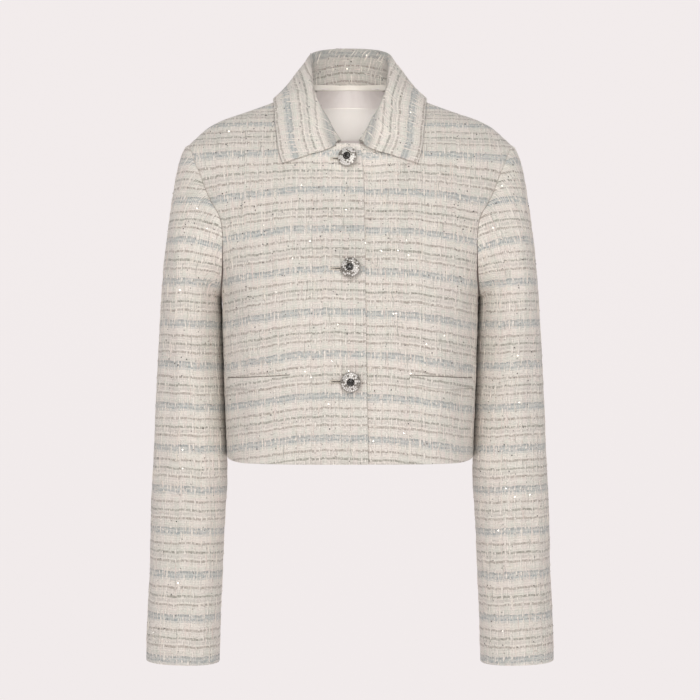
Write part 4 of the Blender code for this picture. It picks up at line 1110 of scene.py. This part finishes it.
def on_grid(grid, row, column):
    """Points of a grid at places between its rows and columns."""
    row = np.clip(row, 0, grid.shape[0] - 1.001)
    column = np.clip(column, 0, grid.shape[1] - 1.001)
    i, j = row.astype(int), column.astype(int)
    u, v = (row - i)[..., None], (column - j)[..., None]
    low = grid[i, j] * (1 - v) + grid[i, j + 1] * v
    return low * (1 - u) + (grid[i + 1, j] * (1 - v) + grid[i + 1, j + 1] * v) * u


def level_inside(turns):
    """Height of a line inside the back of the neck that looks level from the front."""
    return TAPE_LOW - TAPE_BOW * (turns - 180) ** 2


def laid_inside(name, face, under, grain, finish, slot, cut, **area):
    made = wall(f"{name}_cloth", face, under, grain, [finish], every=2)
    sewn(made, slot, f"neck_{name}", flat=cut, held="laid", rests_on=["back_cloth"], **area)


def hung_inside(name, places, depth, thickness, wave, *rest, **area):
    """A piece inside the back: its outer face faces into the jacket, so its columns are turned round."""
    normal = normals_of(torso, places[..., 0], places[..., 1])
    rolled = rolled_under(torso_layer(places, 0.0), *[thickness / 2] * 4)
    face = torso_layer(places, rolled - depth - thickness) - normal * wave[..., None]
    under = torso_layer(places, -depth) - normal * wave[..., None]
    laid_inside(name, face[:, ::-1], under[:, ::-1], grain_of_body(places, 180.0)[:, ::-1], *rest, **area)
    return face


tape_cotton = satin_finish("cotton_tape", (240, 235, 226), (230, 223, 212), 0.8, 0.0002)
# Painted light: a lighter copy of the lining satin, for the lining in the shade inside the back neck.
neck_satin_painted_light = satin_finish("neck_lining_satin_painted_light", (254, 248, 244), (242, 234, 230), 0.42)
label_satin = satin_finish("label_satin", (253, 249, 244), (248, 243, 236), 0.5, 0.00005)

across = np.linspace(-TAPE_REACH, TAPE_REACH, 121)
collar_face = outer_faces["collar"][0]
upper = on_grid(collar_face, row_at(TAPE_TOP, np.abs(across))["row"], collar_face.shape[1] // 2 + across)
turns = np.linspace(95, 265, 681)
low_line = torso_layer(np.stack([turns, level_inside(turns)], -1), -TAPE_OUT)[::-1]
lower = line_through(low_line[:, 0], low_line, upper[:, 0], straight)
lower[:, 0] = upper[:, 0]
share = np.linspace(0, 1, 11)[:, None, None]
strip = lower * (1 - share) + upper * share
out_of_strip = grid_normals(strip)
strip = strip + out_of_strip * TAPE_WALL * share
face = strip - out_of_strip * rolled_under(strip, *[TAPE_WALL / 2] * 4)[..., None]
under = strip - out_of_strip * TAPE_WALL
tape_area = TAPE_CUT[0] * TAPE_CUT[1] * TAPE_LEFT
laid_inside("tape", face, under, strip[..., [0, 2]], tape_cotton, "tape", TAPE_CUT, area=tape_area)

turns = np.linspace(180 - LINING_REACH, 180 + LINING_REACH, 161)[None, :]
low = neck_height(180 - np.abs(180 - turns)) - LINING_BOTTOM
share = np.linspace(0, 1, 49)[:, None]
heights = low * (1 - share) + (level_inside(turns) + LINING_TUCK) * share
hung = closer_at_the_rim(np.stack([turns + share * 0, heights], -1))
pleat = np.radians((hung[..., 0] - 180) / LINING_REACH * 180 * PLEATS)
wave = PLEAT_DEPTH * (0.5 - 0.42 * np.cos(pleat) - 0.08 * np.cos(2 * pleat + 0.9))
depth = TWEED_WALL + LINING_GAP
hung_inside("lining", hung, depth, LINING_WALL, wave, neck_satin_painted_light, "satin", (0.37, 0.084), area=0.0245)

top = neck_height(180.0) - LABEL_TOP
heights = np.linspace(top - (LABEL_BOTTOM - LABEL_TOP), top, 31)[:, None]
across = np.linspace(LABEL_HALF_WIDTH, -LABEL_HALF_WIDTH, 47)[None, :]
places = np.stack([180 - turn_at(across, heights, "back_square"), heights + across * 0], -1)
places = closer_at_the_rim(places)
depth += LINING_WALL + LAYER_GAP + PLEAT_DEPTH
flat = places[..., 0] * 0
label_face = hung_inside("label", places, depth, LABEL_WALL, flat, label_satin, "label", (0.07, 0.0375))
edge = np.concatenate([label_face[2:-2, 2], label_face[-2, 2:-2], label_face[-2:2:-1, -3]])
run = runs(edge)
starts = np.arange(1.0, run[-1] - STITCH_LONG, STITCH_EVERY)
shares = np.array([0.0, 0.15, 0.5, 0.85, 1.0]) * STITCH_LONG
lines = line_through(run, edge, starts[:, None] + shares, straight)
lines = lines + INTO_JACKET * (np.array([-0.05, 0.12, 0.18, 0.12, -0.05])[:, None])
stitching = satin_finish("label_thread", (240, 234, 224), (226, 218, 206), 0.6, 0.0001)
thread = strands("label_stitches", lines, INTO_JACKET, (0.12, 0.17, 0.19, 0.17, 0.12), [stitching])
sewn(thread, "label")


# ---------------------------------------------------------------- the buttonholes
# Each buttonhole is cut level through the right front and its facing, and bound by hand with purl stitches of
# waxed thread side by side, with a short bar at the inner end. The slit shows dark between the two lips.

FIRST_BUTTON, BUTTON_PITCH, SLIT_ABOVE = -75.0, 125.0, 0.4
SLIT_FROM, SLIT_TO = -20.5, 1.0
SLIT_HALF, LIP_OUT, SLIT_OVAL = 0.55, 1.5, 11.2
PURL_PITCH, BAR_HEIGHT = 0.42, 4.2

slit_dark = shaded("slit_shadow", 0.95, Base_Color=colour(46, 42, 38))[0]
purl_thread = satin_finish("purl_thread", (214, 207, 194), (186, 178, 166), 0.7, 0.0001)


def on_front(side, height, lift):
    """Points on the fronts, by distance to the wearer's left of the centre, and how far out."""
    turn = turn_at(side, height)
    return torso_layer(np.stack([turn, height + turn * 0], -1), lift)


side = np.linspace(SLIT_FROM, SLIT_TO, 30)[None, :]
half = SLIT_HALF * np.sqrt(np.clip(1 - ((side - (SLIT_FROM + SLIT_TO) / 2) / SLIT_OVAL) ** 2, 0.1, 1))
open_by = np.linspace(-1, 1, 4)[:, None] * half
at = np.arange(SLIT_FROM - 0.8, SLIT_TO - 1.0, PURL_PITCH)[:, None]
bar = SLIT_FROM - 1.0 + np.linspace(-0.6, 0.5, 5)[:, None]
shares = np.linspace(0, 1, 5)
bow = np.array([-0.05, 0.34, 0.42, 0.34, -0.05])
for number in range(3):
    level = FIRST_BUTTON - BUTTON_PITCH * number + SLIT_ABOVE
    height = level + open_by
    outer, inner = on_front(side, height, 0.12), on_front(side, height, -0.3)
    grain = np.stack([side + height * 0, height], -1)
    wall(f"buttonhole_slit_{number + 1}", outer, inner, grain, [slit_dark])
    reach = SLIT_HALF * 0.75 + LIP_OUT * shares
    stitches = [on_front(at + shares * 0.1, level + way * reach, bow) for way in (-1, 1)]
    stitches.append(on_front(bar, level + (shares - 0.5) * BAR_HEIGHT, bow + 0.1))
    thread = (0.16, 0.23, 0.25, 0.23, 0.16)
    lines = np.concatenate(stitches)
    sewn(strands(f"buttonhole_purl_{number + 1}", lines, INTO_JACKET, thread, [purl_thread]), "tweed")


# ---------------------------------------------------------------- the buttons
# Each of the three buttons is a domed cup of turned and plated brass. Its rim is milled into beads, small
# brilliants are set in rings over the dome, and a faceted dark stone sits in a collet in the middle. A shank
# at the back is sewn to the front through the buttonhole.

BUTTON_STANDS = (4.4, 4.0, 2.8)
BUTTON_SIDES = (-2.2, 1.1, 1.1)
BUTTON_TILTS = ((16.0, 15.0), (14.0, 8.0), (4.0, 2.0))
SHANK_RADIUS = 1.7
CUP = ((1.7, -0.7), (2.6, 0), (8.6, 0), (10.4, 0.6), (11.1, 1.4), (11.2, 2.2), (10.3, 2.9))
DOME = ((9.6, 3.4), (8.2, 4.2), (5.8, 5.1), (3.6, 5.6))
STONE = ((0, 5.5), (2.55, 5.5), (2.75, 6.1), (2.3, 6.8), (1.2, 7.3), (0, 7.3))
COLLET = ((4.4, 5.4), (4.3, 5.8), (3.7, 6.1), (3.2, 6.45), (2.9, 6.3), (2.85, 5.5))
RIM_BEADS, BEAD_RADIUS, BEAD_AT = 54, 0.6, (10.85, 2.5)
CRYSTAL_RINGS = ((9.55, 3.5, 27, 1.0), (7.5, 4.55, 21, 1.0), (5.6, 5.3, 16, 0.95))
CRYSTAL = ((0, -0.35), (0.92, -0.1), (1, 0.12), (0.58, 0.5), (0, 0.5))  # for a radius of 1
CRYSTAL_LIFT, CRYSTAL_SPLAY, CRYSTAL_SCATTER, DARK_GLINT_SHARE = 0.12, 14.0, 0.10, 0.36

plating = speckled("silver_plating", 0.42, 0.7, 0.8, (150, 145, 138), (202, 198, 192))
# foil-backed crystals, their sparkle painted as an even pale colour
foiled_glint = speckled("foiled_crystal", 0.24, 0.25, 0.6, (222, 218, 213), (253, 251, 248))
# painted dark glints: crystals dark where their facets would reflect dark surroundings
dark_glint = speckled("painted_dark_glint", 0.2, 0.3, 0.6, (96, 91, 85), (146, 140, 132))
jet = shaded("dark_stone_glass", 0.1, Base_Color=colour(30, 26, 23), Coat_Weight=0.6, Coat_Roughness=0.05)[0]


def round_z(radius, turn, height):
    return (radius * math.cos(turn), radius * math.sin(turn), height)


def turned_solid(profile, sides):
    """Points and faces of a solid turned round Z from a profile that starts and ends on the axis."""
    middle = profile[1:-1]
    last = len(middle) * sides + 1
    turns = np.linspace(0, 2 * np.pi, sides, endpoint=False)
    points = [(0.0, 0.0, profile[0][1]), *(round_z(r, turn, z) for r, z in middle for turn in turns)]
    faces = []
    for k in range(sides):
        after = (k + 1) % sides
        faces += [(0, 1 + after, 1 + k), (last, last - sides + k, last - sides + after)]
        for low in range(1, last - sides, sides):
            faces.append((low + k, low + after, low + sides + after, low + sides + k))
    return [*points, (0.0, 0.0, profile[-1][1])], faces


def ring_solid(profile, sides):
    """Points and faces of a ring turned round Z from a closed profile."""
    turns = np.linspace(0, 2 * np.pi, sides, endpoint=False)
    corner = np.arange(len(profile) * sides).reshape(len(profile), sides)
    high = np.roll(corner, -1, axis=0)
    faces = np.stack([corner, high, np.roll(high, -1, axis=1), np.roll(corner, -1, axis=1)], -1)
    return [round_z(r, turn, z) for r, z in profile for turn in turns], faces.reshape(-1, 4).tolist()


def facing_frame(outward):
    return Vector(outward).to_track_quat("Z", "Y").to_matrix().to_4x4()


def button_place(number):
    """Where a button sits, with its axis along Z in its own frame, and how long its shank is."""
    height, side = FIRST_BUTTON - BUTTON_PITCH * number, BUTTON_SIDES[number]
    turn = turn_at(side, height)
    outward = normals_of(torso, turn, height)
    aside, nod = BUTTON_TILTS[number]
    hang = Matrix.Rotation(math.radians(-aside), 4, "Z") @ Matrix.Rotation(math.radians(nod), 4, "X")
    stand = BUTTON_STANDS[number]
    place = Matrix.Translation(Vector(torso(turn, height) + stand * outward)) @ hang @ facing_frame(outward)
    tilt = place.to_3x3().col[2].angle(Vector(outward))
    return place, (stand - LAYER_GAP - SHANK_RADIUS * math.sin(tilt)) / math.cos(tilt)


def joined(name, parts, place, finishes, smooth=None):
    """One mesh from (points, faces, finish number) parts, moved to its place. One finish can be smooth."""
    points, faces, kinds = [], [], []
    for part_points, part_faces, kind in parts:
        faces += [tuple(len(points) + k for k in face) for face in part_faces]
        kinds += [kind] * len(part_faces)
        points += [place @ Vector(p) for p in part_points]
    return piece(name, points, faces, finishes, kinds, [kind == smooth for kind in kinds])


scatter = np.random.default_rng(3)
bead = [(BEAD_RADIUS * math.sin(t), -BEAD_RADIUS * math.cos(t)) for t in np.linspace(0, np.pi, 7)]
for number in range(3):
    place, shank = button_place(number)
    parts = [(*turned_solid(((0, -shank), (SHANK_RADIUS, -shank), *CUP, *DOME, (0, 5.6)), 72), 0)]
    for k in range(RIM_BEADS):
        middle = Vector(round_z(BEAD_AT[0], 2 * math.pi * k / RIM_BEADS, BEAD_AT[1]))
        points, faces = turned_solid(bead, 10)
        parts.append(([Vector(p) + middle for p in points], faces, 0))
    for ring_radius, ring_height, count, radius in CRYSTAL_RINGS:
        for k in range(count):
            middle = round_z(ring_radius, 2 * math.pi * (k + 0.5) / count, ring_height + CRYSTAL_LIFT)
            splay = np.array([*middle[:2], CRYSTAL_SPLAY]) / CRYSTAL_SPLAY
            frame_of_it = facing_frame(splay + scatter.normal(0, CRYSTAL_SCATTER, 3))
            set_in = Matrix.Translation(middle) @ frame_of_it @ Matrix.Rotation(scatter.uniform(0, 3), 4, "Z")
            points, faces = turned_solid([(r * radius, z * radius) for r, z in CRYSTAL], 8)
            # a share of the crystals, at random, gets the painted dark glints
            kind = 3 if scatter.random() < DARK_GLINT_SHARE else 1
            parts.append(([set_in @ Vector(p) for p in points], faces, kind))
    parts.append((*ring_solid(COLLET, 36), 2))
    button = joined(f"jewel_button_{number + 1}", parts, place, (plating, foiled_glint, jet, dark_glint), 0)
    sewn(button, "silver", f"button_{number + 1}")
    centre = joined(f"button_stone_{number + 1}", [(*turned_solid(STONE, 9), 0)], place, [jet])
    sewn(centre, "dark_stone", f"stone_{number + 1}")


# ---------------------------------------------------------------- the seams
# The pieces are sewn face to face and their edges pressed open inside, so that at the bottom of each seam the
# turned tweed of both sides meets and closes the gap.

SEAM_DEPTH, SEAM_RADIUS = 0.62, 0.55
seam_yarn = satin_finish("seam_yarn", (214, 206, 196), (196, 188, 178), 0.95, 0.0002)
up_the_side_seam = np.linspace(hem_height(90.0) + 1.5, UNDERARM, 80)
along_the_shoulder = np.linspace(neck_height(90.0) - 1.0, SHOULDER_TIP, 60)
for side, way in (("left", 1), ("right", -1)):
    for name, turn, height in (
        ("armhole", *armhole(np.linspace(0, 360, 181))),
        ("side", 90.0, up_the_side_seam),
        ("shoulder", 90.0, along_the_shoulder),
    ):
        places = np.stack([way * turn + height * 0, height], -1)
        line, up = torso_layer(places, -SEAM_DEPTH), normals_of(torso, *places.T)
        sewn(strands(f"{name}_seam_{side}", line[None], up[None], SEAM_RADIUS, [seam_yarn], sides=6), "tweed")


# ---------------------------------------------------------------- the slubs and loops of the tweed
# The bouclé yarns aren't even: thick soft slubs run up over the weave and some run across it, and here and
# there a loop stands out of it. They are spun of the same wool and cotton as the ground.

slub_finishes = [
    satin_finish("slub_cream", (240, 233, 223), (226, 218, 206), 0.9, 0.0002),
    satin_finish("slub_blush", (234, 221, 213), (216, 203, 195), 0.9, 0.0002),
    satin_finish("slub_smoke", (196, 192, 184), (172, 168, 160), 0.9, 0.0002),
]
# How many to the square decimetre, their length and thickness, and how far they wander and stand out
SLUBS = table(
    "density short long thin thick wander out across",
    (78, 5, 21, 0.26, 0.46, 0.35, 0.10, 0), (42, 3, 12, 0.20, 0.36, 0.25, 0.08, 1),
    (26, 1.6, 3.2, 0.17, 0.27, 0.90, 0.75, 0),
)
SLUB_KNOTS, SLUBS_ON_COLLAR, SLUB_KINDS = 6, 0.5, (0.62, 0.26, 0.12)
NEXT_INSIDE = 8  # how many cells at the rim are left clear


def spread_over(face, slit, density, chances):
    """Random rows and columns of a grid, so many to the square decimetre, clear of its rim and slit."""
    up, right = face[1:, :-1] - face[:-1, :-1], face[:-1, 1:] - face[:-1, :-1]
    count = int(density * length_of(np.cross(up, right)).sum() / 10000)
    inside = slice(NEXT_INSIDE, -NEXT_INSIDE)
    area = (length_of(up) * length_of(right))[inside, inside]
    columns = area.shape[1]
    if slit:
        area[slit[0] - 2 * NEXT_INSIDE :, slit[1] - 2 * NEXT_INSIDE : slit[1] + 1] = 0
    area = area.ravel()
    row, column = np.divmod(chances.choice(area.size, count, p=area / area.sum()), columns)
    return row + NEXT_INSIDE + chances.random(count), column + NEXT_INSIDE + chances.random(count)


for number, (name, (face, laid, slit)) in enumerate(outer_faces.items()):
    chances = np.random.default_rng(20 + number)
    outward = grid_normals(face)
    steps = np.gradient(laid, axis=0), np.gradient(laid, axis=1)
    threads = []
    for density, short, long, thin, thick, wander, out, across in zip(*SLUBS.values()):
        density = density * (SLUBS_ON_COLLAR if name == "collar" else 1.0)
        row, column = spread_over(face, slit, density, chances)
        length = chances.uniform(short, long, len(row))[:, None]
        along = np.linspace(-0.5, 0.5, SLUB_KNOTS)[None, :] * length
        aside = np.cumsum(chances.normal(0, wander, along.shape), axis=1)
        u, v = (along, aside) if across else (aside, along)
        (u_row, v_row), (u_column, v_column) = (
            np.moveaxis(on_grid(step, row, column), -1, 0)[..., None] for step in steps
        )
        turned_over = u_row * v_column - u_column * v_row
        turned_over = np.where(np.abs(turned_over) < 0.05, np.inf, turned_over)
        row_at_it = row[:, None] + (u * v_column - v * u_column) / turned_over
        column_at_it = column[:, None] + (v * u_row - u * v_row) / turned_over
        arch = np.sin(np.linspace(0, np.pi, SLUB_KNOTS)) ** 0.6
        radius = chances.uniform(thin, thick, length.shape) * (0.35 + 0.65 * arch)
        radius = radius * chances.uniform(0.75, 1.2, along.shape)
        up = on_grid(outward, row_at_it, column_at_it)
        lift = (out + chances.uniform(-0.1, 0.1, length.shape)) * arch - 0.12 * (1 - arch)
        line = on_grid(face, row_at_it, column_at_it) + up * lift[..., None]
        threads.append((line, up, radius, chances.choice(3, len(row), p=SLUB_KINDS)))
    lines, ups, radii, kinds = (np.concatenate(part) for part in zip(*threads))
    slubs = strands(f"{name}_slubs", lines, ups, radii, slub_finishes, kinds, sides=4, flatness=0.8)
    sewn(slubs, "tweed")


# ---------------------------------------------------------------- the sequins
# Tiny flat sequins of silvered film are strung on a few of the weft yarns. They lie at all angles, so some
# flash and most look dark.

SEQUIN_RADIUS, SEQUIN_SIDES, SEQUINS_A_DECIMETRE = 0.8, 8, 16.0
SEQUIN_OUT, SEQUIN_LEAN = 0.55, 0.22
film = speckled("silvered_film", 0.16, 1.0, 1.0, (182, 178, 172), (250, 247, 240))

for number, (name, (face, _, slit)) in enumerate(outer_faces.items()):
    chances = np.random.default_rng(60 + number)
    row, column = spread_over(face, slit, SEQUINS_A_DECIMETRE, chances)
    out = on_grid(grid_normals(face), row, column)
    up = unit(out + chances.normal(0, SEQUIN_LEAN, out.shape))
    middle = on_grid(face, row, column) + out * SEQUIN_OUT
    side = unit(np.cross(up, chances.normal(0, 1, out.shape)))
    angle = np.linspace(0, 2 * np.pi, SEQUIN_SIDES, endpoint=False)[:, None]
    ring = side[:, None] * np.cos(angle) + np.cross(up, side)[:, None] * np.sin(angle)
    ring = ring * SEQUIN_RADIUS
    points = middle[:, None] + np.hstack([ring, ring * 0.9 - up[:, None] * 0.1])
    corner = np.arange(points.size // 3).reshape(-1, 2, SEQUIN_SIDES)
    top, foot = corner[:, 0], corner[:, 1]
    sides = np.stack([top, foot, np.roll(foot, -1, axis=1), np.roll(top, -1, axis=1)], -1).reshape(-1, 4)
    faces = top.tolist() + foot[:, ::-1].tolist() + sides.tolist()
    sewn(piece(f"{name}_sequins", points.reshape(-1, 3), faces, [film], smooth=False), "tweed")


# ---------------------------------------------------------------- the backdrop, the light and the camera
# A pale studio sweep of painted board that curves up from floor to wall, a broad soft light in front and
# above with weaker ones at the sides, and a long lens level with the middle of the jacket.

FLOOR, WALL_FROM, WALL_RADIUS = -1200.0, 1300.0, 1200.0
VIEWPOINT, MIDDLE, INSIDE_THE_NECK = (0.0, -2.6, -0.2897), (0.0, 0.0, -0.3), (0.0, 0.06, -0.021)
LENS, SENSOR = 115.9, 36.0

glow = {"Emission_Color": colour(241, 235, 235), "Emission_Strength": 0.96}
board = shaded("studio_board", 1.0, Base_Color=colour(70, 68, 68), Specular_IOR_Level=0.0, **glow)[0]

sweep_side = [(-9000.0, FLOOR), (WALL_FROM, FLOOR)]
sweep_side += [
    (WALL_FROM + WALL_RADIUS * math.sin(a), FLOOR + WALL_RADIUS * (1 - math.cos(a)))
    for a in np.radians(np.linspace(4, 90, 24))
]
sweep_side.append((WALL_FROM + WALL_RADIUS, 6000.0))
points = [(x, y, z) for y, z in sweep_side for x in (-7000.0, 7000.0)]
faces = [(2 * k, 2 * k + 1, 2 * k + 3, 2 * k + 2) for k in range(len(sweep_side) - 1)]
piece("studio_sweep", points, faces, [board], body=None)


def placed(name, data, place, aim=None):
    """A light or camera at its place, turned towards its aim."""
    made = bpy.data.objects.new(name, data)
    made.location = place
    if aim:
        made.rotation_euler = (Vector(aim) - Vector(place)).to_track_quat("-Z", "Y").to_euler()
    bpy.context.scene.collection.objects.link(made)
    return made


for name, place, width, height, watts in (
    ("light_above", (0.0, -2.2, 2.1), 1.9, 1.4, 35),
    ("light_left", (1.1, -2.8, 0.2), 1.0, 1.6, 22),
    ("light_right", (-1.1, -2.8, 0.2), 1.0, 1.6, 22),
):
    softbox = bpy.data.lights.new(name, "AREA")
    softbox.shape = "RECTANGLE"
    softbox.size, softbox.size_y = width, height
    softbox.energy = watts
    softbox.color = (1.0, 0.985, 0.97)
    placed(name, softbox, place, MIDDLE)

snoot = bpy.data.lights.new("light_neck", "SPOT")
snoot.energy, snoot.spot_size, snoot.spot_blend, snoot.shadow_soft_size = 122, math.radians(2.3), 0.45, 0.05
placed("light_neck", snoot, (0.0, -2.5, -0.2), INSIDE_THE_NECK)

world = bpy.data.worlds.new("studio")
world.use_nodes = True
daylight = world.node_tree.nodes["Background"].inputs
daylight["Color"].default_value = colour(236, 236, 240)
daylight["Strength"].default_value = 0.21
bpy.context.scene.world = world
bpy.context.scene.view_settings.view_transform = "Standard"

lens = bpy.data.cameras.new("camera")
lens.lens, lens.sensor_width = LENS, SENSOR
lens.clip_start, lens.clip_end = 0.05, 30.0
camera = placed("camera", lens, VIEWPOINT)
camera.rotation_euler = (math.pi / 2, 0.0, 0.0)
bpy.context.scene.camera = camera
